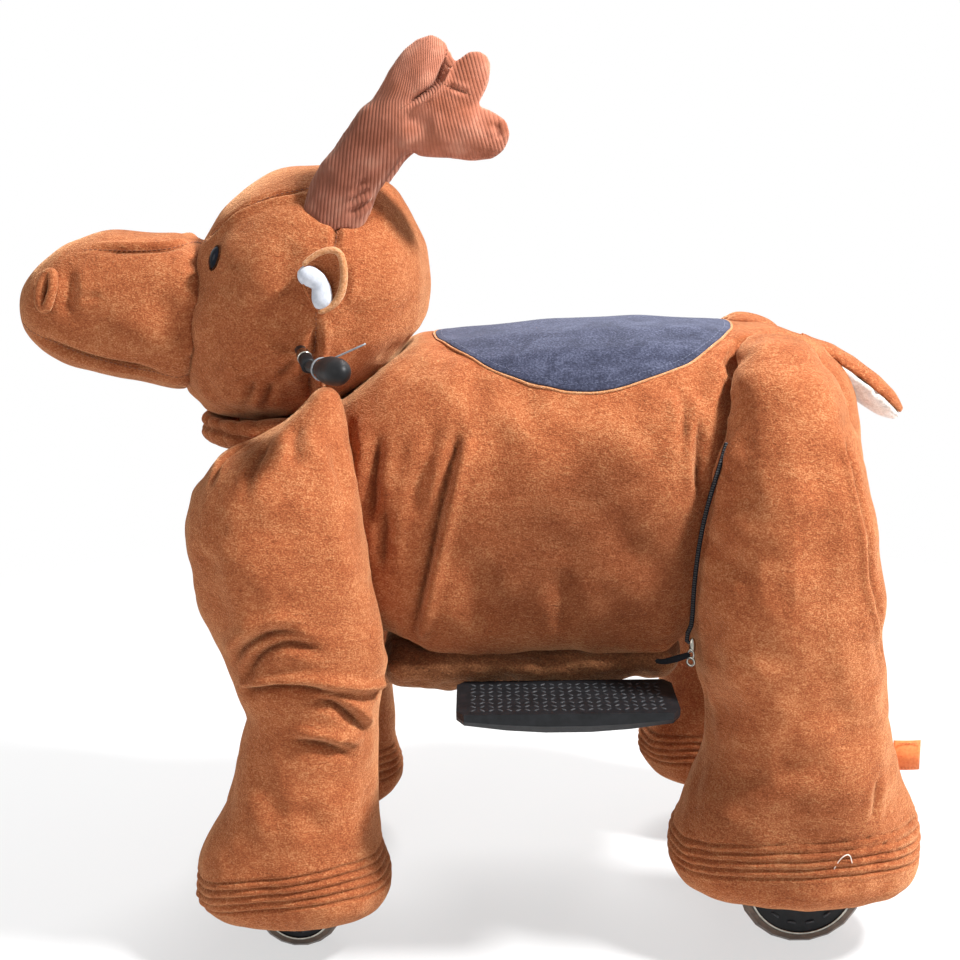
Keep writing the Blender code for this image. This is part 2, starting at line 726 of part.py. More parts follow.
def steering():
    for name, side in SIDES.items():
        y = side * LEG_Y
        half = FRONT_TYRE_WIDTH / 2 + BOSS_PROUD + GAP
        fork = fork_block(
            f"fork_{name}",
            FRONT_AXLE_X,
            y,
            FRONT_AXLE_Z,
            CROWN_Z,
            FORK_HALF_LENGTH,
            half,
            FRONT_AXLE_RADIUS,
            "steel",
        )
        kingpin_foot = (FRONT_AXLE_X, y, CROWN_Z + CROWN_THICKNESS / 2)
        join(
            fork,
            rod(
                "kingpin",
                KINGPIN_RADIUS,
                kingpin_foot,
                (FRONT_AXLE_X, y, ARM_Z + ARM_THICKNESS + CLEAR),
            ),
        )
        reach = half + FORK_PLATE + GAP + AXLE_HEAD
        axle(f"front_axle_{name}", FRONT_AXLE_X, y, FRONT_AXLE_Z, FRONT_AXLE_RADIUS, reach, "bright_steel")
        wheel(
            "front",
            name,
            FRONT_AXLE_X,
            FRONT_AXLE_Z,
            FRONT_WHEEL_RADIUS,
            FRONT_TYRE_WIDTH,
            FRONT_AXLE_RADIUS,
        )
        arm = steering_arm(f"steering_arm_{name}", FRONT_AXLE_X, y, "steel")
        cut(
            arm,
            rod(
                arm.name + "_bore",
                KINGPIN_RADIUS + GAP,
                (FRONT_AXLE_X, y, ARM_Z - CLEAR),
                (FRONT_AXLE_X, y, PIN_HEAD_Z),
            ),
        )

    column = rod(
        "steering_column",
        COLUMN_RADIUS,
        (FRONT_AXLE_X, 0.0, NECK_TUBE_BOTTOM + CLEAR),
        (FRONT_AXLE_X, 0.0, COLUMN_TOP),
        "steel",
    )
    plate = rod(
        "head_plate", HEAD_PLATE_RADIUS, (FRONT_AXLE_X, 0.0, HEAD_PLATE_Z), (
            FRONT_AXLE_X, 0.0, HEAD_PLATE_Z + HEAD_PLATE_THICKNESS
        )
    )
    join(column, steering_arm("column_arm", FRONT_AXLE_X, 0.0), plate)

    ends = ((ARM_X, -LEG_Y), (ARM_X, LEG_Y))
    rod_bar = link_plate("tie_rod", ends, TIE_ROD_WIDTH / 2, ROD_Z, ROD_Z + TIE_ROD_THICKNESS, "steel")
    for y in (-LEG_Y, 0.0, LEG_Y):
        cut(
            rod_bar,
            rod(
                "rod_eye",
                PIN_RADIUS + GAP,
                (ARM_X, y, ROD_Z - CLEAR),
                (ARM_X, y, PIN_HEAD_Z + CLEAR),
                None,
                16,
            ),
        )
    return column


def bar_points():
    """The handlebar's middle line: a smooth run between its bends, and straight in each grip."""
    half = [Vector((FRONT_AXLE_X, 0.0, BAR_Z)), *map(Vector, BAR_POINTS), Vector(GRIP_ROOT)]
    keys = [(n, *point) for n, point in enumerate(half)]
    run = [Vector(smooth(keys, n / 2)) for n in range(1, 2 * len(half) - 1)]
    tip = Vector(GRIP_ROOT).lerp(Vector(GRIP_TIP), 0.9)
    right = [Vector((FRONT_AXLE_X, 0.0, BAR_Z)), *run, tip]
    left = [Vector((point.x, -point.y, point.z)) for point in reversed(right[1:])]
    return left + right


def handlebar(column):
    points = bar_points()
    wire("handlebar", points, BAR_RADIUS, "steel")
    channel = wire("handlebar_channel", points, BAR_RADIUS + GAP)
    cut(column, channel)
    for name, side in SIDES.items():
        root = Vector((GRIP_ROOT[0], side * GRIP_ROOT[1], GRIP_ROOT[2]))
        tip = Vector((GRIP_TIP[0], side * GRIP_TIP[1], GRIP_TIP[2]))
        way = tip - root
        place = Matrix.Translation(root) @ way.to_track_quat("Z", "Y").to_matrix().to_4x4()
        length = way.length
        bore = BAR_RADIUS + 2 * GAP
        profile = (
            (bore, 0.0),
            (GRIP_RADIUS * 0.72, 0.0),
            (GRIP_RADIUS * 0.93, length * 0.12),
            (GRIP_RADIUS, length * 0.45),
            (GRIP_RADIUS * 0.95, length * 0.80),
            (GRIP_RADIUS * 0.66, length * 0.95),
            (GRIP_RADIUS * 0.25, length),
            (0.0, length),
            (0.0, length - GRIP_WALL_END + GAP),
            (bore, length - GRIP_WALL_END + GAP),
        )
        turned(f"grip_{name}", profile, place, "rubber", 16)
    return channel


# Frame


def frame():
    for name, side in SIDES.items():
        y = side * LEG_Y
        foot, top = (FRONT_AXLE_X, y, LEG_TUBE_BOTTOM), (FRONT_AXLE_X, y, LEG_TUBE_TOP)
        tube(f"front_leg_tube_{name}", LEG_TUBE_RADIUS, LEG_BORE, foot, top, "steel")
        kingpin_bush(f"kingpin_bush_{name}", y)
    front_yoke()

    backbone = rod("backbone", BACKBONE_RADIUS, BACKBONE_START, BACKBONE_END, "steel")
    half = HIP_HOUSING_LENGTH / 2
    housing = rod("hip_housing", HIP_HOUSING_RADIUS, (HIP_X, -half, HIP_Z), (HIP_X, half, HIP_Z))
    posts = []
    for x in SEAT_POSTS_X:
        posts.append(
            rod(
                "seat_post",
                SEAT_POST_RADIUS,
                (x, 0.0, backbone_z(x)),
                (x, 0.0, BOARD_Z - GAP),
                None,
                16,
            ),
        )
    spring_top = (FOOTREST_X, 0.0, backbone_z(FOOTREST_X))
    plug = rod(
        "spring_plug",
        SPRING_PLUG_RADIUS,
        spring_foot(SPRING_HIGH - SPRING_PLUG_LENGTH),
        spring_top,
        None,
        12,
    )
    join(backbone, housing, *posts, plug)
    bore = rod("hip_bore", HIP_SHAFT_RADIUS + GAP, (HIP_X, -2 * half, HIP_Z), (HIP_X, 2 * half, HIP_Z))
    flat = block(
        "yoke_face",
        (BACKBONE_START.x - YOKE_SIZE, -YOKE_SIZE, YOKE_Z - YOKE_SIZE),
        (BACKBONE_START.x, YOKE_SIZE, YOKE_Z + YOKE_SIZE),
    )
    cut(backbone, bore, flat)

    stop = rod(
        "stop_buffer",
        STOP_RADIUS,
        (STOP_X, 0.0, lever_z(STOP_X)),
        (STOP_X, 0.0, backbone_z(STOP_X)),
        "rubber",
        16,
    )
    cut(stop, rod("stop_saddle", BACKBONE_RADIUS + GAP, BACKBONE_START, BACKBONE_END))
    cut(
        stop,
        rod(
            "stop_seat",
            LEVER_RADIUS + GAP,
            (FOOTREST_X, 0.0, LEVER_FRONT_Z),
            (CROSSBAR_X, 0.0, CROSSBAR_Z),
        ),
    )
    return_spring()
    seat()


def front_yoke():
    """The bar between the two front leg tubes, with the neck tube standing on it."""
    yoke = block(
        "front_yoke",
        (FRONT_AXLE_X - YOKE_SIZE / 2, -LEG_Y, YOKE_Z - YOKE_SIZE / 2),
        (FRONT_AXLE_X + YOKE_SIZE / 2, LEG_Y, YOKE_TOP),
        "steel",
    )
    neck = rod("neck", NECK_TUBE_RADIUS, (FRONT_AXLE_X, 0.0, YOKE_Z), (FRONT_AXLE_X, 0.0, LEG_TUBE_TOP))
    join(yoke, neck)
    cut(
        yoke,
        rod(
            "neck_bore",
            COLUMN_RADIUS + GAP,
            (FRONT_AXLE_X, 0.0, NECK_TUBE_BOTTOM),
            (FRONT_AXLE_X, 0.0, COLUMN_TOP),
        ),
    )
    for side in SIDES.values():
        y = side * LEG_Y
        saddle = rod(
            "tube_saddle",
            LEG_TUBE_RADIUS + GAP,
            (FRONT_AXLE_X, y, LEG_TUBE_BOTTOM),
            (FRONT_AXLE_X, y, LEG_TUBE_TOP),
        )
        outside = block(
            "yoke_end",
            (FRONT_AXLE_X - YOKE_SIZE, min(y, 2 * y), YOKE_Z - YOKE_SIZE),
            (FRONT_AXLE_X + YOKE_SIZE, max(y, 2 * y), YOKE_Z + YOKE_SIZE),
        )
        cut(yoke, saddle, outside)


def spring_foot(z):
    return (FOOTREST_X, 0.0, z)


def return_spring():
    """The coil that pulls the lever up, screwed on a plug at each end."""
    points = []
    for n in range(SPRING_TURNS * SPRING_POINTS + 1):
        angle = 2 * math.pi * n / SPRING_POINTS
        z = SPRING_LOW + (SPRING_HIGH - SPRING_LOW) * n / (SPRING_TURNS * SPRING_POINTS)
        points.append((FOOTREST_X + SPRING_RADIUS * math.cos(angle), SPRING_RADIUS * math.sin(angle), z))
    wire("return_spring", points, SPRING_WIRE, "bright_steel", 1)


def seat():
    board = block(
        "seat_board",
        (BOARD_X[0], -BOARD_HALF_WIDTH, BOARD_Z),
        (BOARD_X[1], BOARD_HALF_WIDTH, BOARD_Z + BOARD_THICKNESS),
        "board",
    )
    edge = board.modifiers.new("Rounded", "BEVEL")
    edge.width = BOARD_THICKNESS / 6
    applied(board)
    foam = block(
        "seat_foam",
        (BOARD_X[0], -BOARD_HALF_WIDTH, BOARD_Z + BOARD_THICKNESS + GAP),
        (BOARD_X[1], BOARD_HALF_WIDTH, BOARD_Z + BOARD_THICKNESS + GAP + FOAM_THICKNESS),
        "foam",
    )
    edge = foam.modifiers.new("Rounded", "BEVEL")
    edge.width = FOAM_THICKNESS / 4
    edge.segments = 2
    applied(foam)


# Hind frame, which swings about the hip


def hind_tube_end(side, z):
    return (hind_tube_x(z), side * LEG_Y, z)


def hind_frame():
    rod("hip_shaft", HIP_SHAFT_RADIUS, (HIP_X, -LEG_Y, HIP_Z), (HIP_X, LEG_Y, HIP_Z), "bright_steel")
    crossbar = rod(
        "crossbar",
        CROSSBAR_RADIUS,
        (CROSSBAR_X, -LEG_Y, CROSSBAR_Z),
        (CROSSBAR_X, LEG_Y, CROSSBAR_Z),
        None,
        16,
    )
    for name, side in SIDES.items():
        y = side * LEG_Y
        half = REAR_TYRE_WIDTH / 2 + BOSS_PROUD + GAP
        crown = fork_block(
            f"hind_leg_tube_{name}",
            REAR_AXLE_X,
            y,
            REAR_AXLE_Z,
            REAR_CROWN_Z,
            HIND_TUBE_RADIUS + FORK_PLATE,
            half,
            REAR_AXLE_RADIUS,
            "steel",
        )
        join(
            crown,
            rod(
                "leg",
                HIND_TUBE_RADIUS,
                hind_tube_end(side, HIND_TUBE_FOOT[1]),
                hind_tube_end(side, HIND_TUBE_TOP_Z),
            ),
        )
        cut(
            crown,
            rod(
                "shaft_hole",
                HIP_SHAFT_RADIUS + GAP,
                (HIP_X, y - side * 0.03, HIP_Z),
                (HIP_X, y + GAP * side, HIP_Z),
            ),
        )
        saddle = rod(
            "crossbar_saddle",
            HIND_TUBE_RADIUS + GAP,
            hind_tube_end(side, REAR_CROWN_Z),
            hind_tube_end(side, HIP_Z),
        )
        outside = block(
            "crossbar_end",
            (CROSSBAR_X - 0.03, min(y, 2 * y), CROSSBAR_Z - 0.03),
            (CROSSBAR_X + 0.03, max(y, 2 * y), CROSSBAR_Z + 0.03),
        )
        cut(crossbar, saddle, outside)
        reach = half + FORK_PLATE + GAP + AXLE_HEAD
        axle(f"rear_axle_{name}", REAR_AXLE_X, y, REAR_AXLE_Z, REAR_AXLE_RADIUS, reach, "bright_steel")
        wheel("rear", name, REAR_AXLE_X, REAR_AXLE_Z, REAR_WHEEL_RADIUS, REAR_TYRE_WIDTH, REAR_AXLE_RADIUS)
    return crossbar


def footrests(crossbar):
    keel_z = FOOTREST_TOP - FOOTREST_KEEL_DEPTH
    bar_low = keel_z + (FOOTREST_KEEL_DEPTH - FOOTREST_BAR[1]) / 3
    bar_half = FOOTREST_BAR[0] / 2
    reach = FOOTREST_OUTER_Y - FOOTREST_RIM
    run = bent(
        (FOOTREST_X, 0.0, bar_low + FOOTREST_BAR[1] / 2),
        (FOOTREST_X, 0.0, LEVER_FRONT_Z),
        (CROSSBAR_X, 0.0, CROSSBAR_Z),
        LEVER_BEND,
    )
    lever = wire("pedal_lever", run, LEVER_RADIUS, "steel", 4)
    top = LEVER_FRONT_Z + SPRING_SEAT_TOP
    spring_seat = rod(
        "spring_seat",
        SPRING_RADIUS + 2 * SPRING_WIRE,
        spring_foot(top - SPRING_SEAT_DEPTH),
        spring_foot(top),
    )
    bar = block(
        "bar",
        (FOOTREST_X - bar_half, -reach, bar_low),
        (FOOTREST_X + bar_half, reach, bar_low + FOOTREST_BAR[1]),
    )
    plug = rod(
        "lever_plug",
        SPRING_PLUG_RADIUS,
        spring_foot(LEVER_FRONT_Z),
        spring_foot(SPRING_LOW + SPRING_PLUG_LENGTH),
        None,
        12,
    )
    join(lever, crossbar, bar, spring_seat, plug)

    pocket = block(
        "bar_pocket",
        (FOOTREST_X - bar_half - GAP, -reach - GAP, bar_low - GAP),
        (FOOTREST_X + bar_half + GAP, reach + GAP, bar_low + FOOTREST_BAR[1] + GAP),
    )
    for name, side in SIDES.items():
        cut(footrest_plate(f"footrest_{name}", side, "plastic"), pocket)


def footrest_plate(name, side, look):
    """A plate with a flat top and a keel that is deepest in the middle, lofted along X."""
    half = FOOTREST_LENGTH / 2
    rings = []
    for share in (-1.0, -0.93, -0.55, -0.2, 0.2, 0.55, 0.93, 1.0):
        keel = (FOOTREST_KEEL_DEPTH - FOOTREST_END_DEPTH) * math.cos(share * math.pi / 2) ** 0.8
        depth = FOOTREST_END_DEPTH + keel
        tuck = 0.012 if abs(share) == 1.0 else 0.0
        inner, outer = FOOTREST_INNER_Y + tuck, FOOTREST_OUTER_Y - tuck
        low, chamfer = FOOTREST_TOP - depth, depth * 0.45
        section = (
            (inner, FOOTREST_TOP),
            (outer, FOOTREST_TOP),
            (outer, low + chamfer),
            (outer - chamfer, low),
            (inner, low),
        )
        rings.append([(FOOTREST_X + share * half, side * y, z) for y, z in section])
    return loft(name, rings, look)


# Stuffed forms


def body_cutter(grow):
    return long_form("body_space", BODY_KEYS, None, grow, low_power=4.0)


def swept_body():
    """The body's space as a swinging hind leg sees it, at rest and at full swing."""
    whole = body_cutter(GAP + SWING_CLEAR)
    return whole, turned_copy(whole, HIP, "Y", HIND_SWING)


def reach_of(ring, angle):
    """How far a closed ring round the origin reaches in one direction."""
    way = Vector((math.cos(angle), math.sin(angle)))
    far = COLUMN_RADIUS + CLEAR
    for start, end in zip(ring, ring[1:] + ring[:1]):
        side = end - start
        turn = way.cross(side)
        if abs(turn) > 1e-9 and 0.0 <= start.cross(way) / turn <= 1.0:
            far = max(far, start.cross(side) / turn)
    return far


def swept_head():
    """The space the head sweeps round the column as it turns with the handlebar."""
    limit = math.radians(STEER_LIMIT)
    directions = [2 * math.pi * n / 24 for n in range(24)]
    rings = []
    for z in places_along(HEAD_KEYS, 1):
        level = upright_ring(HEAD_KEYS, z, 0, GAP + SWEEP_CLEAR, 16, 0.0)
        ring = [Vector((x - FRONT_AXLE_X, y)) for x, y, height in level]
        turns = [limit * share for share in (-1.0, -0.5, 0.0, 0.5, 1.0)]
        outline = []
        for angle in directions:
            far = max(reach_of(ring, angle - turn) for turn in turns)
            outline.append((FRONT_AXLE_X + far * math.cos(angle), far * math.sin(angle), z))
        rings.append(outline)
    rings[0] = [(x, y, z - GAP - SWEEP_CLEAR) for x, y, z in rings[0]]
    return loft("head_sweep", rings)


def linkage_space():
    """Room for the three steering arms and the tie rod over their whole travel."""
    low, high = LEG_TUBE_TOP + GAP, PIN_HEAD_Z + PIN_HEAD + CLEAR
    reach = ARM_LENGTH + ARM_WIDTH / 2 + CLEAR
    travel = ARM_LENGTH * math.sin(math.radians(STEER_LIMIT))
    outer = LEG_Y + travel + ARM_WIDTH / 2 + CLEAR
    back = FRONT_AXLE_X + reach
    front = FRONT_AXLE_X - LEG_TUBE_RADIUS - CLEAR
    return block("linkage_space", (front, -outer, low), (back, outer, high))


def bay():
    """The hollow in the body for the frame, in three steps, each open underneath."""
    floor = BODY_KEYS[5][1] - BAY_HALF_WIDTH
    half = BAY_HALF_WIDTH
    foam_top = BOARD_Z + BOARD_THICKNESS + FOAM_THICKNESS + 3 * GAP
    link_top = PIN_HEAD_Z + PIN_HEAD + CLEAR
    front = block("bay_front", (BAY_FRONT_X, -half, floor), (BAY_STEP_X, half, link_top - GAP))
    middle = block("bay_middle", (BAY_STEP_X - GAP, -half, floor), (BAY_HIP_X, half, foam_top))
    back = block("bay_back", (BAY_HIP_X - GAP, -half, floor), (BAY_BACK_X, half, BAY_HIP_Z))
    return front, middle, back


def plush():
    body = long_form("body_plush", BODY_KEYS, "plush", low_power=4.0)
    yoke = block(
        "yoke_space",
        (FRONT_AXLE_X - YOKE_SIZE / 2 - GAP, -LEG_Y, YOKE_Z - YOKE_SIZE / 2 - GAP),
        (FRONT_AXLE_X + YOKE_SIZE / 2 + GAP, LEG_Y, YOKE_TOP + GAP),
    )
    shaft = rod("shaft_space", HIP_SHAFT_RADIUS + GAP, (HIP_X, -LEG_Y, HIP_Z), (HIP_X, LEG_Y, HIP_Z))
    column = rod(
        "column_space",
        COLUMN_RADIUS + CLEAR,
        (FRONT_AXLE_X, 0.0, NECK_TUBE_BOTTOM),
        (FRONT_AXLE_X, 0.0, HEAD_PLATE_Z),
    )
    travel = (HIP_Z - CROSSBAR_Z) * math.sin(math.radians(HIND_SWING))
    lift = (HIP_Z - CROSSBAR_Z) * (1 - math.cos(math.radians(HIND_SWING)))
    slot = block(
        "crossbar_slot",
        (CROSSBAR_X - CROSSBAR_RADIUS - CLEAR, -LEG_Y, CROSSBAR_Z - CROSSBAR_RADIUS - CLEAR),
        (CROSSBAR_X + CROSSBAR_RADIUS + CLEAR + travel, LEG_Y, CROSSBAR_Z + CROSSBAR_RADIUS + CLEAR + lift),
    )
    space = linkage_space()
    sweep = swept_head()
    cut(body, *bay(), space, yoke, shaft, column, slot, sweep)
    front_legs(yoke, space, sweep)
    hind_legs(shaft)
    belly_flap()
    seat_cover()
    collar(sweep)
    tail()


def front_legs(yoke, space, sweep):
    body = body_cutter(GAP)
    for name, side in SIDES.items():
        y = side * LEG_Y
        leg = upright_form(f"front_leg_plush_{name}", FRONT_LEG_KEYS, side, "plush")
        bore = rod(
            "leg_space",
            LEG_TUBE_RADIUS + GAP,
            (FRONT_AXLE_X, y, FRONT_WHEEL_RADIUS),
            (FRONT_AXLE_X, y, ARM_Z),
        )
        fork_reach = math.hypot(FRONT_WHEEL_RADIUS, FRONT_TYRE_WIDTH / 2) + CLEAR + FORK_PLATE
        cavity = rod("hoof_space", fork_reach, (FRONT_AXLE_X, y, -0.01), (FRONT_AXLE_X, y, LEG_TUBE_BOTTOM))
        cut(leg, body, cavity, bore, space, yoke, sweep)


def hind_legs(shaft):
    body = swept_body()
    for name, side in SIDES.items():
        y = side * LEG_Y
        leg = upright_form(f"hind_leg_plush_{name}", HIND_LEG_KEYS, side, "plush")
        bore = rod(
            "leg_space",
            HIND_TUBE_RADIUS + GAP,
            hind_tube_end(side, REAR_CROWN_Z),
            hind_tube_end(side, HIND_TUBE_TOP_Z + GAP),
        )
        half = REAR_TYRE_WIDTH / 2 + BOSS_PROUD + FORK_PLATE + AXLE_HEAD + CLEAR
        reach = REAR_WHEEL_RADIUS + CLEAR
        top = REAR_CROWN_Z + CROWN_THICKNESS + GAP
        cavity = block(
            "hoof_space", (REAR_AXLE_X - reach, y - half, -0.01), (REAR_AXLE_X + reach, y + half, top)
        )
        crossbar = rod(
            "crossbar_space",
            CROSSBAR_RADIUS + GAP,
            (CROSSBAR_X, -LEG_Y, CROSSBAR_Z),
            (CROSSBAR_X, LEG_Y, CROSSBAR_Z),
        )
        cut(leg, *body, cavity, bore, shaft, crossbar)


def sewn_strip(name, keys, side, turns, half_turn, z_low, z_high, thickness, steps=8):
    """A flat strip that lies on an upright form, along its height at one place round it."""
    rings = []
    for n in range(steps + 1):
        z = z_low + (z_high - z_low) * n / steps
        turn = turns[0] + (turns[1] - turns[0]) * n / steps
        front, back, half, shift = smooth(keys, z)
        middle_x, middle_y = (front + back) / 2, side * (LEG_Y + shift)
        ring = []
        for grow, ways in ((2 * GAP, (-1, 0, 1)), (2 * GAP + thickness, (1, 0, -1))):
            for way in ways:
                across, up = swell(turn + way * half_turn, 2.2)
                x = middle_x + ((back - front) / 2 + grow) * across
                ring.append((x, middle_y + side * (half + grow) * up, z))
        rings.append(ring)
    return loft(name, rings)


def zips_and_label():
    legs = {}
    for name, side in SIDES.items():
        legs[name] = upright_form("hind_leg_space", HIND_LEG_KEYS, side, None, GAP)
        tape = sewn_strip("tape", HIND_LEG_KEYS, side, ZIP_TURN, ZIP_WIDTH_TURN, *ZIP_Z, ZIP_THICKNESS)
        front, back, half, shift = smooth(HIND_LEG_KEYS, ZIP_Z[0] + ZIP_SLIDER[2])
        across, up = swell(ZIP_TURN[0], 2.2)
        out = Vector((across / (back - front), side * up / (2 * half), 0.0)).normalized()
        middle = Vector(((front + back) / 2, side * (LEG_Y + shift), 0.0))
        on_leg = middle + Vector(((back - front) / 2 * across, side * half * up, 0.0))
        at = on_leg + out * (ZIP_SLIDER[0] / 2) + Vector((0, 0, ZIP_Z[0] + ZIP_SLIDER[2]))
        turn = Matrix.Rotation(math.atan2(out.y, out.x), 4, "Z")
        bm = bmesh.new()
        place = Matrix.Translation(at) @ turn @ Matrix.Diagonal((*ZIP_SLIDER, 1))
        bmesh.ops.create_cube(bm, size=1.0, matrix=place)
        slider = close("slider", bm)
        ring_at = Matrix.Translation(at + out * ZIP_SLIDER[0] / 2 - Vector((0, 0, ZIP_SLIDER[2] / 2)))
        pull = ((0.0035, -0.0008), (0.0055, -0.0008), (0.0055, 0.0008), (0.0035, 0.0008))
        ring = turned("pull", pull, ring_at @ turn @ Matrix.Rotation(math.pi / 2, 4, "Y"), None, 12)
        cut(join(tape, slider, ring), legs[name])
        dress(tape, f"zip_{name}", "zip")

    side = SIDES["left"]
    z = sum(LABEL_Z) / 2
    front, back, half, shift = smooth(HIND_LEG_KEYS, z)
    y = side * (LEG_Y + shift)
    label = block(
        "label_tab",
        (back - 0.006, y - LABEL_THICKNESS / 2, LABEL_Z[0]),
        (back + LABEL_LENGTH, y + LABEL_THICKNESS / 2, LABEL_Z[1]),
        "label",
    )
    cut(label, legs["left"])


def belly_flap():
    """The flap sewn under the body, which closes the hollow, with a slot for the footrest's stem."""
    flap = long_form("belly_flap", FLAP_KEYS, "plush", sides=20, low_power=2.6)
    lever = Vector((FOOTREST_X - HIP_X, 0.0, BODY_FLAP_TOP - HIP_Z))
    back = abs(lever.z) * math.sin(math.radians(HIND_SWING)) + 2 * CLEAR
    floor, roof = FLAP_KEYS[2][1] - CLEAR, BODY_FLAP_TOP + CLEAR
    slot = block(
        "stem_slot",
        (FOOTREST_X - LEVER_RADIUS - CLEAR, -LEVER_RADIUS - CLEAR, floor),
        (FOOTREST_X + LEVER_RADIUS + CLEAR + back, LEVER_RADIUS + CLEAR, roof),
    )
    top = FOOTREST_TOP - (FOOTREST_KEEL_DEPTH - FOOTREST_BAR[1]) * 2 / 3 + CLEAR
    half = FOOTREST_BAR[0] / 2
    groove = block(
        "bar_groove",
        (FOOTREST_X - half - CLEAR, -FOOTREST_OUTER_Y, floor),
        (FOOTREST_X + half + 5 * CLEAR, FOOTREST_OUTER_Y, top),
    )
    cut(flap, slot, groove, body_cutter(GAP))


def seat_cover():
    """The velvet seat: a skin on the body's back, cut to an oval as seen from above."""
    cover = long_form("seat_cover", BODY_KEYS, "velvet", GAP + SEAT_COVER_THICKNESS, low_power=4.0)
    crown = max(high for x, low, high, half in BODY_KEYS) + FOAM_THICKNESS
    waist = sum(BODY_KEYS[6][1:3]) / 2
    oval = rod("seat_oval", 1.0, (0, 0, waist), (0, 0, crown), None, 32)
    stretch = Matrix.Translation((SEAT_COVER_MIDDLE_X, 0, 0)) @ Matrix.Diagonal((*SEAT_COVER_HALF, 1, 1))
    oval.data.transform(stretch)
    boolean(cover, oval, "INTERSECT")
    cut(cover, body_cutter(GAP))


def collar(sweep):
    """The gathered roll round the neck."""
    x, z = COLLAR_MIDDLE
    steps = 8
    profile = []
    for n in range(steps):
        angle = 2 * math.pi * n / steps
        profile.append((COLLAR_RADIUS + COLLAR_ROLL * math.cos(angle), COLLAR_ROLL * math.sin(angle)))
    roll = turned("neck_collar", profile, Matrix.Translation((x, 0.0, z)), "plush", 20)
    legs = [upright_form("leg_space", FRONT_LEG_KEYS, side, None, GAP) for side in SIDES.values()]
    cut(roll, sweep, body_cutter(GAP), *legs)


def tail():
    """Two layers, brown above and white below, sewn along their edges."""
    body = body_cutter(GAP)
    for name, look, way in (("tail_top", "plush", 1), ("tail_underside", "white_plush", -1)):
        rings = []
        for x in places_along(TAIL_KEYS, 2):
            z, half, above, below = smooth(TAIL_KEYS, x)
            thick = above if way > 0 else below
            ring = []
            for n in range(12):
                angle = 2 * math.pi * n / 12
                up = max(math.sin(angle), 0.0)
                ring.append(
                    (x + way * up * thick * 0.6, half * math.cos(angle), z + way * (GAP + up * thick))
                )
            rings.append(ring)
        cut(loft(name, rings, look), body)


# Head


def limb(name, keys, side, start=0.0):
    """One stuffed limb of an antler, with elliptic rings square to its run and a round tip.

    start turns each ring's corners, so that limbs that cross share no edge.
    """
    points = [Vector((x, 0.0, z)) for x, z, radius in keys]
    ends = [points[0], *points, points[-1]]
    rings = []
    for n, (x, z, radius) in enumerate(keys):
        way = (ends[n + 2] - ends[n]).normalized()
        across = Vector((way.z, 0.0, -way.x))
        last = n == len(keys) - 1
        for along, share in ((0.0, 1.0), (0.55, 0.8), (0.95, 0.3)) if last else ((0.0, 1.0),):
            middle = points[n] + way * radius * along
            ring = []
            for m in range(10):
                angle = 2 * math.pi * (m + start) / 10
                point = middle + across * radius * share * math.cos(angle)
                thick = radius * share * ANTLER_FLATNESS * math.sin(angle)
                root, top = ANTLER_STEM[0][1], ANTLER_FRONT[-1][1]
                lean = ANTLER_Y[0] + (ANTLER_Y[1] - ANTLER_Y[0]) * (point.z - root) / (top - root)
                ring.append((point.x, side * (lean + thick), point.z))
            rings.append(ring)
    return loft(name, rings)


def head(channel):
    space = upright_form("head_space", HEAD_KEYS, 0, None, GAP)
    ball_form = upright_form("head_plush", HEAD_KEYS, 0, "plush")
    stalk = rod(
        "stalk_space",
        COLUMN_RADIUS + GAP,
        (FRONT_AXLE_X, 0.0, LEG_TUBE_TOP),
        (FRONT_AXLE_X, 0.0, COLUMN_TOP + GAP),
    )
    plate_top = HEAD_PLATE_Z + HEAD_PLATE_THICKNESS + GAP
    plate = rod(
        "plate_space",
        HEAD_PLATE_RADIUS + GAP,
        (FRONT_AXLE_X, 0.0, HEAD_PLATE_Z - GAP),
        (FRONT_AXLE_X, 0.0, plate_top),
    )
    cut(ball_form, stalk, plate, channel)

    muzzle = long_form("muzzle_plush", MUZZLE_KEYS, "plush", sides=20, low_power=2.2)
    cut(muzzle, space)
    muzzle_space = long_form("muzzle_space", MUZZLE_KEYS, None, GAP, 20, 2.2)

    for name, side in SIDES.items():
        cut(ball(f"eye_{name}", (EYE[0], side * EYE[1], EYE[2]), EYE_SIZE, "eye"), space)
        ear_at = (EAR[0], side * EAR[1], EAR[2])
        cut(ball(f"ear_{name}", ear_at, EAR_SIZE, "plush", EAR_TURN), space)
        nostril_at = (NOSTRIL[0], side * NOSTRIL[1], NOSTRIL[2])
        cut(ball(f"nostril_{name}", nostril_at, NOSTRIL_SIZE, "plush"), muzzle_space)

    for name, side in SIDES.items():
        antler = limb("stem", ANTLER_STEM, side)
        prongs = ((ANTLER_FRONT, 0.3), (ANTLER_MIDDLE, 0.5), (ANTLER_BACK, 0.7))
        limbs = [limb("limb", keys, side, start) for keys, start in prongs]
        join(antler, *limbs)
        cut(antler, space)
        dress(antler, f"antler_{name}", "corduroy")


CHANNEL = handlebar(steering())
frame()
footrests(hind_frame())
plush()
zips_and_label()
head(CHANNEL)
for piece in PARTS.objects:
    piece.data.shade_smooth()
    piece.data.set_sharp_from_angle(angle=math.radians(30))
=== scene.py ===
# %% [markdown]
# # A plush ride-on animal on four wheels
# The real object is a welded frame in a stuffed plush skin, with antlers of corduroy. The frame
# comes packed, with its joints. Here it gets its looks: the skin is puffed, folded and sewn, and
# every surface gets the finish of its real material. All sizes are metres.

# %% Load the frame
import json
import math

import bmesh
import bpy
import numpy as np
from mathutils import Matrix, Vector
from mathutils.bvhtree import BVHTree


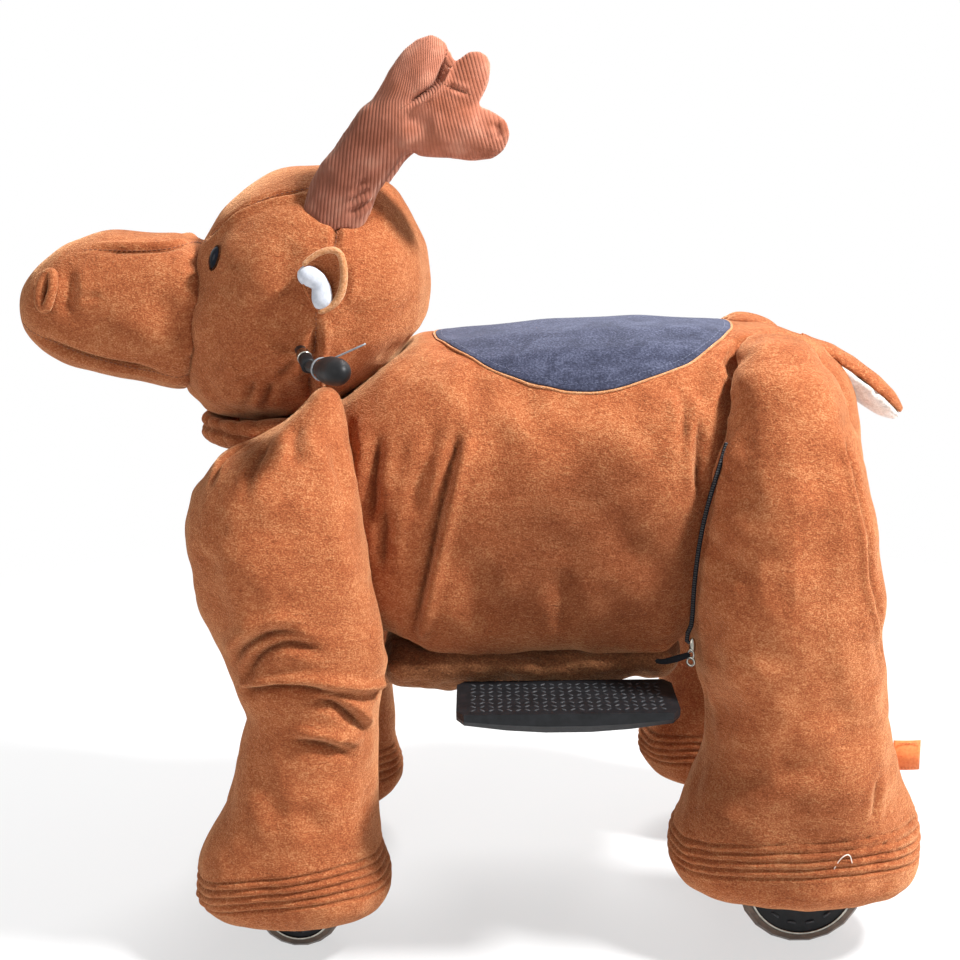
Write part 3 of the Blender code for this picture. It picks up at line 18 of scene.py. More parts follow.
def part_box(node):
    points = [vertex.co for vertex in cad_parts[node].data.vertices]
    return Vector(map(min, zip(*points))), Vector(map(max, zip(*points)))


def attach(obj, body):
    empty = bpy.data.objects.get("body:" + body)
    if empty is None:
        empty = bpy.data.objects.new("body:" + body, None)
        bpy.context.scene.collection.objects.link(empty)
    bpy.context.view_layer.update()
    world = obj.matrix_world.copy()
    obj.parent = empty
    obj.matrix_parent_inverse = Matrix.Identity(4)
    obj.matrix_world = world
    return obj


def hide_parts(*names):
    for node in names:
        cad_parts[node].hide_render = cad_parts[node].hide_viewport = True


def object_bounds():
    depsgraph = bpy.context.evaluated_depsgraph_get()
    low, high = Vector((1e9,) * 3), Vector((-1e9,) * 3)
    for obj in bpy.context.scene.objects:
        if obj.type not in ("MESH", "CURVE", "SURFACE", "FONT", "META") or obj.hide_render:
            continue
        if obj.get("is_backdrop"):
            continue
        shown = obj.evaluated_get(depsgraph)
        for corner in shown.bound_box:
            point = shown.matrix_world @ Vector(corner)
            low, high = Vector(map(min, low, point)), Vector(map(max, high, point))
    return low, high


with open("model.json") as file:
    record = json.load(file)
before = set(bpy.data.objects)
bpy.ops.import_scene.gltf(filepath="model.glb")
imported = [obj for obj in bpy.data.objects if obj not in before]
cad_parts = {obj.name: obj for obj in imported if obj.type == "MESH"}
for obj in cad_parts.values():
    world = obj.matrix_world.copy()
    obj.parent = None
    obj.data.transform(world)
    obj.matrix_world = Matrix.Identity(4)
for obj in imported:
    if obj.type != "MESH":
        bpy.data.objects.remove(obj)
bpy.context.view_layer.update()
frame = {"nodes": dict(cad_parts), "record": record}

NODES = frame["nodes"]
SIDES = {"left": -1, "right": 1}
MM = 0.001

# %% [markdown]
# ## Camera
# The photograph was taken from the animal's left, at about the height of its head and a little
# downwards. A camera's place, pitch and roll were fitted to the outline once, and are plain
# numbers here. The function sight gives the ray through one pixel of the frame. It lets a seam
# start where it is seen, and the ray then finds the surface, so the seam lies on the cloth.

# %% Camera
FRAME_PIXELS = 960
LENS, SENSOR = 57.6, 36.0
EYE_POINT = Vector((0.013, -1.779, 0.9206))
PITCH, ROLL = math.radians(12.9), math.radians(-0.7)


def camera_turn(pitch, roll):
    """Rotation of a camera that looks along +Y, tipped down by pitch and turned by roll."""
    level = Matrix.Rotation(math.pi / 2 - pitch, 3, "X")
    return level @ Matrix.Rotation(roll, 3, "Z")


TURN = camera_turn(PITCH, ROLL)
lens = bpy.data.cameras.new("camera")
lens.lens, lens.sensor_width = LENS, SENSOR
camera = bpy.data.objects.new("camera", lens)
camera.matrix_world = Matrix.Translation(EYE_POINT) @ TURN.to_4x4()
bpy.context.scene.collection.objects.link(camera)
bpy.context.scene.camera = camera
bpy.context.scene.view_settings.view_transform = "Standard"


def sight(u, v):
    """Direction from the camera through one pixel of the frame."""
    focal = LENS / SENSOR * FRAME_PIXELS
    return (TURN @ Vector(((u - 480) / focal, (480 - v) / focal, -1.0))).normalized()


def on_plane(u, v, y):
    """Where the ray through a pixel meets the upright plane at y."""
    way = sight(u, v)
    return EYE_POINT + way * ((y - EYE_POINT.y) / way.y)


print("camera at", tuple(round(x, 3) for x in EYE_POINT))

# %% [markdown]
# ## Functions for nodes and colours
# Every material below is a node tree. The function add makes a node, sets its properties and
# inputs, and links it, so that a finish reads as a list of what it is made of. Short functions
# stand for the nodes that come back most. Colours are written as sRGB hex values, as a paint
# chart has them, and are turned to linear light here.

# %% Node and colour helpers
WHITE = (1, 1, 1, 1)


def tint(code):
    """An sRGB hex colour as linear red, green, blue and alpha."""
    parts = [int(code[n : n + 2], 16) / 255 for n in (1, 3, 5)]
    linear = [c / 12.92 if c <= 0.04045 else ((c + 0.055) / 1.055) ** 2.4 for c in parts]
    return (*linear, 1.0)


def add(tree, kind, settings=None, links=None):
    """Adds a node. A setting is a property of the node, one of its inputs, or a ramp's stops."""
    made = tree.nodes.new(kind)
    for key, value in (settings or {}).items():
        if key == "stops":
            ramp = made.color_ramp
            while len(ramp.elements) < len(value):
                ramp.elements.new(0.5)
            for stop, (place, code) in zip(ramp.elements, value):
                stop.position, stop.color = place, tint(code)
        elif isinstance(key, str) and hasattr(made, key):
            setattr(made, key, value)
        else:
            made.inputs[key].default_value = value
    for key, source in (links or {}).items():
        tree.links.new(getattr(source, "outputs", [source])[0], made.inputs[key])
    return made


def calculated(tree, operation, *values, **settings):
    """A Math node. Its values are other nodes or plain numbers, in the order of its inputs."""
    plain = {n: value for n, value in enumerate(values) if isinstance(value, (int, float))}
    links = {n: value for n, value in enumerate(values) if n not in plain}
    return add(tree, "ShaderNodeMath", {"operation": operation, **settings, **plain}, links)


def ramp_of(tree, factor, *stops):
    """A colour from a factor, through stops of (place, colour)."""
    return add(tree, "ShaderNodeValToRGB", {"stops": stops}, {"Fac": factor})


def bump(tree, height, distance, strength, under=None):
    """A normal from a height, laid over the normal under it."""
    links = {"Height": height} if under is None else {"Height": height, "Normal": under}
    return add(tree, "ShaderNodeBump", {"Strength": strength, "Distance": distance}, links)


def towards(tree, colour, other, share):
    """A colour, mixed towards another one by a share from 0 to 1."""
    settings = {"data_type": "RGBA", 7: tint(other)}
    return add(tree, "ShaderNodeMix", settings, {0: share, 6: colour}).outputs[2]


def seen_rays(tree):
    """1 for rays from the camera, straight or by a glossy surface, and 0 for all others."""
    rays = add(tree, "ShaderNodeLightPath")
    return calculated(tree, "MAXIMUM", rays.outputs["Is Camera Ray"], rays.outputs["Is Glossy Ray"])


def empty_tree(owner):
    """The node tree of a material or world, with nothing in it."""
    owner.use_nodes = True
    owner.node_tree.nodes.clear()
    return owner.node_tree


def finish(name, colour, settings, normal, roughness=None):
    """A material round one Principled shader. Its colour, normal and roughness build nodes."""
    material = bpy.data.materials.new(name)
    tree = empty_tree(material)
    links = {"Base Color": colour(tree), "Normal": normal(tree)}
    if roughness:
        links["Roughness"] = roughness(tree)
    shader = add(tree, "ShaderNodeBsdfPrincipled", settings, links)
    add(tree, "ShaderNodeOutputMaterial", None, {"Surface": shader})
    return material


print("linear value of #808080:", round(tint("#808080")[0], 4))

# %% [markdown]
# ## Studio
# A pale floor and three soft lamps. The floor and the world look white to the camera through
# Light Path, and not through more light, so the plush keeps its colour. The floor keeps the
# shadow near the object, and turns fully white farther out, so no horizon shows. The main lamp
# stands high behind the animal on the camera's side, where the sun stood in the photograph.

# %% Studio
AIM = Vector((0.0, 0.0, 0.45))
LAMPS = (
    # name, place, width across in m, power in W
    ("key", (2.15, -0.9, 3.2), 0.5, 262.0),
    ("front", (-2.6, -2.0, 1.5), 1.8, 17.0),
    ("back", (0.5, 2.4, 2.9), 1.4, 135.0),
)
SKY_COLOUR, SKY_LIGHT, PAPER_COLOUR, FLOOR_RADIUS = "#F2F4F8", 0.30, "#E4E4E4", 9.0
WHITE_RING = {"From Min": 0.4, "From Max": 1.7, "To Min": 0.62, "To Max": 1.0}


def lamp(name, place, size, power):
    light = bpy.data.lights.new(name, "AREA")
    light.shape, light.size, light.energy = "DISK", size, power
    obj = bpy.data.objects.new(name, light)
    obj.location = place
    obj.rotation_euler = (AIM - Vector(place)).to_track_quat("-Z", "Y").to_euler()
    bpy.context.scene.collection.objects.link(obj)


for settings in LAMPS:
    lamp(*settings)

world = bpy.data.worlds.new("studio")
bpy.context.scene.world = world
air = empty_tree(world)
sky = add(air, "ShaderNodeBackground", {"Color": tint(SKY_COLOUR), "Strength": SKY_LIGHT})
white = add(air, "ShaderNodeBackground", {"Color": WHITE, "Strength": 1.0})
seen = add(air, "ShaderNodeMixShader", None, {0: seen_rays(air), 1: sky, 2: white})
add(air, "ShaderNodeOutputWorld", None, {"Surface": seen})

floor_paper = bpy.data.materials.new("pale studio paper")
paper = empty_tree(floor_paper)
matt = add(paper, "ShaderNodeBsdfDiffuse", {"Color": tint(PAPER_COLOUR)})
glow = add(paper, "ShaderNodeEmission", {"Color": WHITE, "Strength": 1.0})
spot = add(paper, "ShaderNodeTexCoord").outputs["Object"]
reach = add(paper, "ShaderNodeVectorMath", {"operation": "LENGTH"}, {0: spot})
white_share = add(paper, "ShaderNodeMapRange", WHITE_RING, {"Value": reach.outputs["Value"]})
part = calculated(paper, "MULTIPLY", seen_rays(paper), white_share)
both = add(paper, "ShaderNodeMixShader", None, {0: part, 1: matt, 2: glow})
add(paper, "ShaderNodeOutputMaterial", None, {"Surface": both})
bpy.ops.mesh.primitive_circle_add(vertices=96, radius=FLOOR_RADIUS, fill_type="NGON")
floor = bpy.context.object
floor.name = "floor"
floor.data.materials.append(floor_paper)
floor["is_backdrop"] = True
print("lamps:", [name for name, *rest in LAMPS])

# %% [markdown]
# ## Short-pile plush
# Polyester plush is knitted, its loops are cut and the pile stands about 6 mm. It lies this way
# and that, so patches of a few centimetres look lighter or darker, small tufts mottle it, and
# fine fibres break up the light. Three noises at those real sizes give the colour and the bump.
# Fibres that stand in view at the edge catch light: sheen does that. The attribute fold is painted by the
# folding functions below. It holds painted shade: it darkens a pinched crease, where pile shades pile, and
# soft patches where the sides lie in shadow. Hair would look much the same from here and cost millions of
# faces.

# %% Plush
PILE = (
    # size, detail, stretch and distortion of the patches, the tufts and the fibres
    (45 * MM, 3.0, (1, 1, 1.4), 0.6),
    (7 * MM, 4.0, (1, 1, 1.8), 0.5),
    (2.0 * MM, 4.0, (1, 1, 1.5), 0.0),
)
PILE_BUMPS = ((3.0 * MM, 0.5), (2.2 * MM, 0.7), (1.6 * MM, 0.9))
PLUSH_SHADER = {
    "Roughness": 0.95, "Specular IOR Level": 0.08, "Sheen Weight": 0.9, "Sheen Roughness": 0.3,
}


def pile_noise(tree, size, detail, stretch=(1.0, 1.0, 1.0), distortion=0.0):
    place = add(tree, "ShaderNodeTexCoord")
    spread = add(tree, "ShaderNodeMapping", {"Scale": stretch}, {"Vector": place.outputs["Object"]})
    settings = {"Scale": 1 / size, "Detail": detail, "Roughness": 0.55, "Distortion": distortion}
    return add(tree, "ShaderNodeTexNoise", settings, {"Vector": spread})


def with_painted_shade(tree, colour, crease):
    """Painted shade: the colour, mixed towards a darker one where the attribute fold is painted."""
    fold = add(tree, "ShaderNodeAttribute", {"attribute_name": "fold"})
    deep = calculated(tree, "MULTIPLY", fold.outputs["Fac"], 0.8, use_clamp=True)
    return towards(tree, colour, crease, deep)


def plush_colour(dark, middle, pale, crease):
    def build(tree):
        patch, tuft, fibre = (pile_noise(tree, *noise) for noise in PILE)
        coarse = add(tree, "ShaderNodeMix", {0: 0.5}, {2: patch, 3: tuft})
        grain = add(tree, "ShaderNodeMix", {0: 0.58}, {2: coarse, 3: fibre})
        return with_painted_shade(tree, ramp_of(tree, grain, (0.36, dark), (0.5, middle), (0.64, pale)), crease)

    return build


def pile_bump(depth=1.0):
    def build(tree):
        lay = None
        for noise, (distance, strength) in zip(PILE, PILE_BUMPS):
            lay = bump(tree, pile_noise(tree, *noise), distance * depth, strength, lay)
        return lay

    return build


def plush(name, shades, sheen, depth=1.0):
    """Plush in four shades: dark, middle, pale, and the painted shade at the bottom of a crease."""
    settings = {**PLUSH_SHADER, "Sheen Tint": tint(sheen)}
    return finish(f"short-pile plush, {name}", plush_colour(*shades), settings, pile_bump(depth))


plush_brown = plush("fox brown", ("#84452A", "#A95F3A", "#CC8D60", "#3A190D"), "#FFC896")
# A darker copy of the brown plush: painted shade, for the flap that lies under the belly in shadow.
plush_shaded = plush("rubbed underside", ("#5C3822", "#845336", "#AC7A52", "#2A160C"), "#F0C8A0")
plush_white = plush("ivory", ("#C9C4BC", "#E6E2DC", "#F6F4F0", "#9A9288"), "#FFFFFF", 0.6)
# A paler copy of the brown plush: painted highlight, for edges that catch the light.
plush_pale = plush("honey edge", ("#B17248", "#C88C60", "#DEAC84", "#6A3A1C"), "#FFD8B4", 0.8)
# Near-black plush: painted shade, in the nostril's slit and in the dent round the eye.
plush_dark = finish(
    "short-pile plush, in a slit",
    plush_colour("#2A1509", "#3C2010", "#54301A", "#160A04"),
    {"Roughness": 0.95, "Specular IOR Level": 0.05},
    pile_bump(0.5),
)
print("plush finishes made")

# %% [markdown]
# ## Velvet, corduroy and the other cloths
# The seat is a velvet with a pile of about 1 mm, whose nap shows streaks where hands have brushed it. The
# corduroy of the antlers has ribs 3.8 mm apart. Each rib follows the limb it is sewn on, so the rib number
# is an attribute of the piece, and the material turns it into round ribs with gaps darkened by painted
# shade. The label and the zip tape are plain weaves. Most other finishes are two shades over patches with a
# fine grain, and one function makes those.

# %% Cloths
BAND_PITCH = 0.314  # of a wave texture at scale 1, in metres


def velvet_colour(tree):
    nap_and_shade = pile_noise(tree, 30 * MM, 6.0, (1, 1.6, 1), 0.8)
    grain = pile_noise(tree, 2.2 * MM, 2.0)
    both = add(tree, "ShaderNodeMix", {0: 0.6}, {2: nap_and_shade, 3: grain})
    return ramp_of(tree, both, (0.36, "#282B3A"), (0.5, "#3A3D50"), (0.64, "#53576B"))


def velvet_bump(tree):
    return bump(tree, pile_noise(tree, 2.2 * MM, 3.0), 0.8 * MM, 0.6)


def rib_wave(tree):
    """0 in the gap between two ribs, 1 on a rib's crown."""
    number = add(tree, "ShaderNodeAttribute", {"attribute_name": "rib"}).outputs["Fac"]
    wave = calculated(tree, "SINE", calculated(tree, "MULTIPLY", number, math.pi))
    return calculated(tree, "ABSOLUTE", wave)


def corduroy_colour(tree):
    wear = pile_noise(tree, 30 * MM, 4.0)
    base = ramp_of(tree, wear, (0.35, "#99583F"), (0.55, "#B37058"), (0.75, "#CB8F76"))
    # Painted shade: the gaps between ribs are darkened, and creases too.
    span = {"From Min": 0.0, "From Max": 0.6, "To Min": 0.32, "To Max": 0.0}
    gap = add(tree, "ShaderNodeMapRange", span, {"Value": rib_wave(tree)})
    return with_painted_shade(tree, towards(tree, base, "#7A3E2E", gap), "#4A2219")


def corduroy_bump(tree):
    fine = bump(tree, pile_noise(tree, 1.8 * MM, 2.0), 0.5 * MM, 0.4)
    return bump(tree, rib_wave(tree), 0.7 * MM, 0.8, fine)


def weave_bump(pitch, depth):
    """Crossed threads: two wave patterns at right angles, at the real thread spacing."""

    def build(tree):
        place = add(tree, "ShaderNodeTexCoord").outputs["Object"]
        threads = []
        for way in ("X", "Z"):
            settings = {"bands_direction": way, "Scale": BAND_PITCH / pitch}
            threads.append(add(tree, "ShaderNodeTexWave", settings, {"Vector": place}).outputs["Fac"])
        return bump(tree, calculated(tree, "MAXIMUM", *threads), depth, 0.7)

    return build


def mottled(dark, pale, size):
    """A colour that varies a little between two shades, over patches of one real size."""
    return lambda tree: ramp_of(tree, pile_noise(tree, size, 3.0, (1, 1, 1)), (0.3, dark), (0.7, pale))


def grain_bump(size, depth, strength=0.4):
    return lambda tree: bump(tree, pile_noise(tree, size, 2.0), depth, strength)


def uneven(size, low, high):
    """Roughness that varies over patches, as handled or dusty surfaces have it."""
    span = {"To Min": low, "To Max": high}
    return lambda tree: add(tree, "ShaderNodeMapRange", span, {"Value": pile_noise(tree, size, 4.0)})


def grained(name, dark, pale, patch, settings, grain, rough=None):
    """Two shades, a grain of (size, depth, strength), roughness over patches. Sizes are in mm."""
    size, depth, *strength = grain
    roughness = uneven(rough[0] * MM, *rough[1:]) if rough else None
    normal = grain_bump(size * MM, depth * MM, *strength)
    return finish(name, mottled(dark, pale, patch * MM), settings, normal, roughness)


def thread(colour, dark, pale):
    settings = {"Roughness": 0.6, "Sheen Weight": 0.2}
    return grained(f"polyester sewing thread, {colour}", dark, pale, 1.2, settings, (0.5, 0.2))


velvet = finish(
    "cut velvet, slate blue",
    velvet_colour,
    {
        "Roughness": 0.85, "Specular IOR Level": 0.15, "Sheen Weight": 0.35, "Sheen Roughness": 0.35,
        "Sheen Tint": tint("#AEB6D6"),
    },
    velvet_bump,
)
corduroy = finish(
    "cotton corduroy, old rose",
    corduroy_colour,
    {
        "Roughness": 0.88, "Specular IOR Level": 0.2, "Sheen Weight": 0.4, "Sheen Roughness": 0.5,
        "Sheen Tint": tint("#F4CBB4"),
    },
    corduroy_bump,
)
label_ribbon = finish(
    "woven polyester ribbon, orange",
    mottled("#E4702C", "#F08A45", 3 * MM),
    {"Roughness": 0.7, "Sheen Weight": 0.2},
    weave_bump(0.9 * MM, 0.3 * MM),
)
zip_tape = finish(
    "woven polyester zip tape, black",
    mottled("#101013", "#1C1C20", 2 * MM),
    {"Roughness": 0.85, "Specular IOR Level": 0.15},
    weave_bump(1.0 * MM, 0.3 * MM),
)
LINING_SHADER = {"Roughness": 0.8, "Sheen Weight": 0.25}
satin = grained("brushed fleece lining, white", "#B9BEC9", "#D9DCE4", 6, LINING_SHADER, (1.6, 0.5, 0.6))
thread_brown = thread("brown", "#6A3313", "#8A4A20")
thread_slate = thread("slate", "#3A4058", "#565E7A")
thread_pale = thread("cream", "#E8D8C8", "#FAF2E8")
print("cloth finishes made")

# %% [markdown]
# ## Hard materials
# Frame tubes are powder-coated black, whose skin is slightly pitted, like orange peel. Axles and
# pins are zinc-plated steel, a greyish metal with soft cloudy patches. The hubs and footrests
# are moulded plastics with a fine spark-eroded texture, the tyres cast polyurethane, which is
# brownish and glossy, and the seat board is plywood. Every CAD node gets its slot's finish.

# %% Hard materials


def plywood_colour(tree):
    grain = pile_noise(tree, 5 * MM, 6.0, (0.12, 1, 1), 0.5)
    return ramp_of(tree, grain, (0.3, "#A98456"), (0.55, "#C7A675"), (0.75, "#DCC398"))


def foam_colour(tree):
    place = add(tree, "ShaderNodeTexCoord").outputs["Object"]
    cells = add(tree, "ShaderNodeTexVoronoi", {"Scale": 1 / (1.5 * MM)}, {"Vector": place})
    return ramp_of(tree, cells, (0.0, "#B9A25C"), (0.5, "#E3D08C"))


METAL, SHINE = {"Metallic": 1.0}, "Specular IOR Level"
TYRE_SHADER = {"IOR": 1.5, "Coat Weight": 0.2, "Coat Roughness": 0.2}
EYE_SHADER = {"Roughness": 0.12, "IOR": 1.45, SHINE: 0.16}
HARD = {
    # dark and pale shade, patch, shader, grain, and roughness as (patch, low, high)
    "nickel-plated brass": ("#96938A", "#B8B4AA", 5, METAL, (0.6, 0.03), (3, 0.14, 0.34)),
    "gunmetal zinc casting": ("#3C3D40", "#5A5B5E", 3, METAL, (0.6, 0.05), (3, 0.25, 0.5)),
    "moulded nylon, silver grey": (
        "#6E7276", "#94989C", 4, {"IOR": 1.53, SHINE: 0.6}, (0.8, 0.05), (4, 0.25, 0.45),
    ),
    "moulded polypropylene, worn grey": (
        "#2A2C2F", "#4A4B4E", 6, {SHINE: 0.3}, (0.7, 0.12, 0.6), (6, 0.35, 0.6),
    ),
    "powder-coated steel, black": (
        "#0F1011", "#1B1C1E", 12, {SHINE: 0.5}, (1.2, 0.12, 0.5), (9, 0.32, 0.5),
    ),
    "zinc-plated steel": ("#A9ABAD", "#C9CACB", 6, METAL, (0.8, 0.05), (4, 0.2, 0.42)),
    "moulded polypropylene, black": (
        "#121315", "#1E1F22", 8, {SHINE: 0.25}, (0.7, 0.15, 0.6), (11, 0.34, 0.55),
    ),
    "moulded rubber, black": (
        "#0E0E10", "#18181A", 7, {SHINE: 0.25}, (0.9, 0.12, 0.5), (9, 0.38, 0.6),
    ),
    "cast polyurethane, brown": (
        "#4A3A2E", "#6C5644", 10, TYRE_SHADER, (2, 0.1, 0.3), (8, 0.25, 0.45),
    ),
    "moulded nylon, white": ("#D5D1C4", "#E9E6DB", 5, {"Roughness": 0.4, "IOR": 1.53}, (0.8, 0.05)),
    "cast acrylic, midnight blue": ("#04060D", "#0A0F1D", 6, EYE_SHADER, (3, 0.02, 0.2)),
}
made = {name: grained(name, *recipe) for name, recipe in HARD.items()}
nickel, gunmetal = made["nickel-plated brass"], made["gunmetal zinc casting"]
nylon, plastic_grey = made["moulded nylon, silver grey"], made["moulded polypropylene, worn grey"]
FINISHES = {
    "steel": made["powder-coated steel, black"],
    "bright_steel": made["zinc-plated steel"],
    "plastic": made["moulded polypropylene, black"],
    "rubber": made["moulded rubber, black"],
    "tyre": made["cast polyurethane, brown"],
    "foam": finish("open-cell foam", foam_colour, {"Roughness": 0.95}, grain_bump(1.5 * MM, 0.6 * MM, 0.8)),
    "board": finish("birch plywood", plywood_colour, {"Roughness": 0.6}, grain_bump(3 * MM, 0.15 * MM)),
    "bush": made["moulded nylon, white"],
    "eye": made["cast acrylic, midnight blue"],
    "plush": plush_brown,
    "white_plush": plush_white,
    "velvet": velvet,
    "corduroy": corduroy,
    "label": label_ribbon,
    "zip": zip_tape,
}
BY_LENGTH = sorted(FINISHES, key=len, reverse=True)
SLOT_OF_NODE = {}
for look in frame["record"]["materials"]:
    for node in look.get("nodes", []):
        SLOT_OF_NODE[node] = look["slot"]
for name, obj in NODES.items():
    old = obj.data.materials[0].name if obj.data.materials else ""
    slot = SLOT_OF_NODE.get(name) or next((s for s in BY_LENGTH if old.startswith(s)), "steel")
    SLOT_OF_NODE[name] = slot
    for n in range(max(1, len(obj.material_slots))):
        if not obj.material_slots:
            obj.data.materials.append(FINISHES[slot])
        obj.material_slots[n].material = FINISHES[slot]
used_slots = sorted(SLOT_OF_NODE.values())
print("finishes on CAD pieces:", {slot: used_slots.count(slot) for slot in used_slots})

# %% [markdown]
# ## Meshes as arrays
# Folding cloth means moving tens of thousands of points, which a loop over vertices does slowly.
# So the points of a mesh are read into one array, moved together, and written back.

# %% Mesh helpers


def points_of(obj):
    flat = np.empty(len(obj.data.vertices) * 3)
    obj.data.vertices.foreach_get("co", flat)
    return flat.reshape(-1, 3)


def place_points(obj, points):
    obj.data.vertices.foreach_set("co", points.ravel())
    obj.data.update()


def normals_of(obj):
    flat = np.empty(len(obj.data.vertices) * 3)
    obj.data.vertices.foreach_get("normal", flat)
    return flat.reshape(-1, 3)


def edges_of(obj):
    flat = np.empty(len(obj.data.edges) * 2, int)
    obj.data.edges.foreach_get("vertices", flat)
    return flat.reshape(-1, 2)


def linked(name, mesh):
    obj = bpy.data.objects.new(name, mesh)
    bpy.context.scene.collection.objects.link(obj)
    return obj


def settle(obj):
    """Makes the object's modifiers part of its mesh."""
    graph = bpy.context.evaluated_depsgraph_get()
    mesh = bpy.data.meshes.new_from_object(obj.evaluated_get(graph))
    obj.modifiers.clear()
    obj.data = mesh
    return obj


def with_modifier(obj, kind, **settings):
    modifier = obj.modifiers.new(kind.title(), kind)
    for key, value in settings.items():
        setattr(modifier, key, value)
    return settle(obj)


def cad_copy(name, node):
    """A welded copy of a CAD node's mesh, which may be changed."""
    bm = bmesh.new()
    bm.from_mesh(NODES[node].data)
    bmesh.ops.remove_doubles(bm, verts=bm.verts, dist=1e-5)
    mesh = bpy.data.meshes.new(name)
    bm.to_mesh(mesh)
    bm.free()
    return linked(name, mesh)


def neighbour_mean(points, edges):
    n, count = len(points), np.maximum(np.bincount(edges.ravel(), minlength=len(points)), 1)
    total = np.empty_like(points)
    for k in range(points.shape[1]):
        column = points[:, k]
        total[:, k] = np.bincount(edges[:, 0], column[edges[:, 1]], n)
        total[:, k] += np.bincount(edges[:, 1], column[edges[:, 0]], n)
    return total / count[:, None]


def relax(points, edges, rounds, share=1.0, keep_size=False):
    """Moves points towards their neighbours. keep_size adds a push back, so nothing shrinks."""
    share = np.asarray(share, float).reshape(-1, 1)
    for _ in range(rounds):
        points = points + 0.5 * share * (neighbour_mean(points, edges) - points)
        if keep_size:
            points = points - 0.53 * share * (neighbour_mean(points, edges) - points)
    return points


def tree_of(obj):
    return BVHTree.FromObject(obj, bpy.context.evaluated_depsgraph_get())


def smooth_step(value, low, high):
    t = np.clip((value - low) / (high - low), 0, 1)
    return t * t * (3 - 2 * t)


def around(count):
    """Evenly spaced angles round a full turn."""
    return [2 * math.pi * n / count for n in range(count)]


print("helpers ready")

# %% [markdown]
# ## Stuffing a skin
# Each stuffed form starts as a copy of its CAD solid. A voxel remesh gives it an even grid of points.
# Points in a hollow, where a tube or a wheel sits, stay on the CAD surface. All others are relaxed, which
# rounds off the CAD solid's facets. The skins of the body, head, muzzle and legs are then simulated as
# cloth that stuffing presses outwards. The cloth is a little larger than its form, so it puckers as real
# plush does. These skins are simulated together, in one run of 20 frames. Where a neighbour is close, the
# skin is held, so that it doesn't swell into it.

# %% Stuffing
CLOTH_FRAMES = 20


def open_share(obj):
    """1 where a point looks out of the piece, 0 where it faces another wall of the same piece."""
    tree = tree_of(obj)
    points, normals = points_of(obj), normals_of(obj)
    share = np.ones(len(points))
    for n, (point, normal) in enumerate(zip(points, normals)):
        way = Vector(normal)
        if tree.ray_cast(Vector(point) + way * 2 * MM, way, 0.5)[0] is not None:
            share[n] = 0.0
    return share


def room_share(points, others, near, far):
    """0 where another piece is nearer than near, 1 where it is farther than far."""
    share = np.ones(len(points))
    for name in others:
        tree = tree_of(NODES[name])
        low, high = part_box(name)
        close = ((points > np.array(low) - far) & (points < np.array(high) + far)).all(1)
        for n in np.nonzero(close)[0]:
            hit = tree.find_nearest(Vector(points[n]), far)
            if hit[0] is not None:
                share[n] = min(share[n], max(0.0, (hit[3] - near) / (far - near)))
    return share


def skin(name, node, voxel, rounds=12, swell=1.5 * MM, others=(), far=14 * MM):
    """A stuffed piece's skin, evenly meshed, and how free each point of it is, from 0 to 1."""
    obj = cad_copy(name, node)
    cad_tree = tree_of(obj)
    with_modifier(obj, "REMESH", mode="VOXEL", voxel_size=voxel)
    edges, share = edges_of(obj), open_share(obj)
    share = relax(share[:, None], edges, 3)[:, 0]
    free = np.clip(share * 1.6 - 0.5, 0, 1)
    if others:
        free = np.minimum(free, room_share(points_of(obj), others, 1.0 * MM, far))
        free = relax(free[:, None], edges, 2)[:, 0]
    points = points_of(obj)
    for n in np.nonzero(free < 0.35)[0]:
        points[n] = cad_tree.find_nearest(Vector(points[n]))[0]
    points = relax(points, edges, 4, free)
    points = relax(points, edges, rounds, free, keep_size=True)
    place_points(obj, points)
    place_points(obj, points + normals_of(obj) * (swell * free)[:, None])
    return obj, free


def puff(skins, caps, pressure=4.0, slack=0.04):
    """Simulates the skins as cloth under pressure, and keeps each point within a cap of its form."""
    rest = {}
    for obj, free in skins:
        rest[obj.name] = points_of(obj)
        group = obj.vertex_groups.new(name="held")
        levels = np.round((1 - free) * 10).astype(int)
        for level in range(1, 11):
            group.add(np.nonzero(levels == level)[0].tolist(), level / 10, "REPLACE")
        cloth = obj.modifiers.new("Cloth", "CLOTH")
        fabric = cloth.settings
        fabric.quality, fabric.mass = 3, 0.2
        fabric.use_pressure, fabric.uniform_pressure_force = True, pressure
        fabric.vertex_group_mass, fabric.pin_stiffness = "held", 1.0
        fabric.shrink_min = -slack
        fabric.bending_stiffness = 0.3
        fabric.effector_weights.gravity = 0.0
        cloth.collision_settings.use_collision = False
    for number in range(1, CLOTH_FRAMES + 1):
        bpy.context.scene.frame_set(number)
    graph = bpy.context.evaluated_depsgraph_get()
    for (obj, free), cap in zip(skins, caps):
        flat = np.empty(len(obj.data.vertices) * 3)
        obj.evaluated_get(graph).data.vertices.foreach_get("co", flat)
        moved = flat.reshape(-1, 3) - rest[obj.name]
        length = np.linalg.norm(moved, axis=1, keepdims=True)
        moved *= np.minimum(1.0, cap / np.maximum(length, 1e-9)) * free[:, None]
        obj.modifiers.clear()
        obj.vertex_groups.clear()
        place_points(obj, relax(rest[obj.name] + moved, edges_of(obj), 2, free))
        print(f"{obj.name}: moved {length.mean() * 1000:.1f} mm on average before the cap")
    bpy.context.scene.frame_set(1)


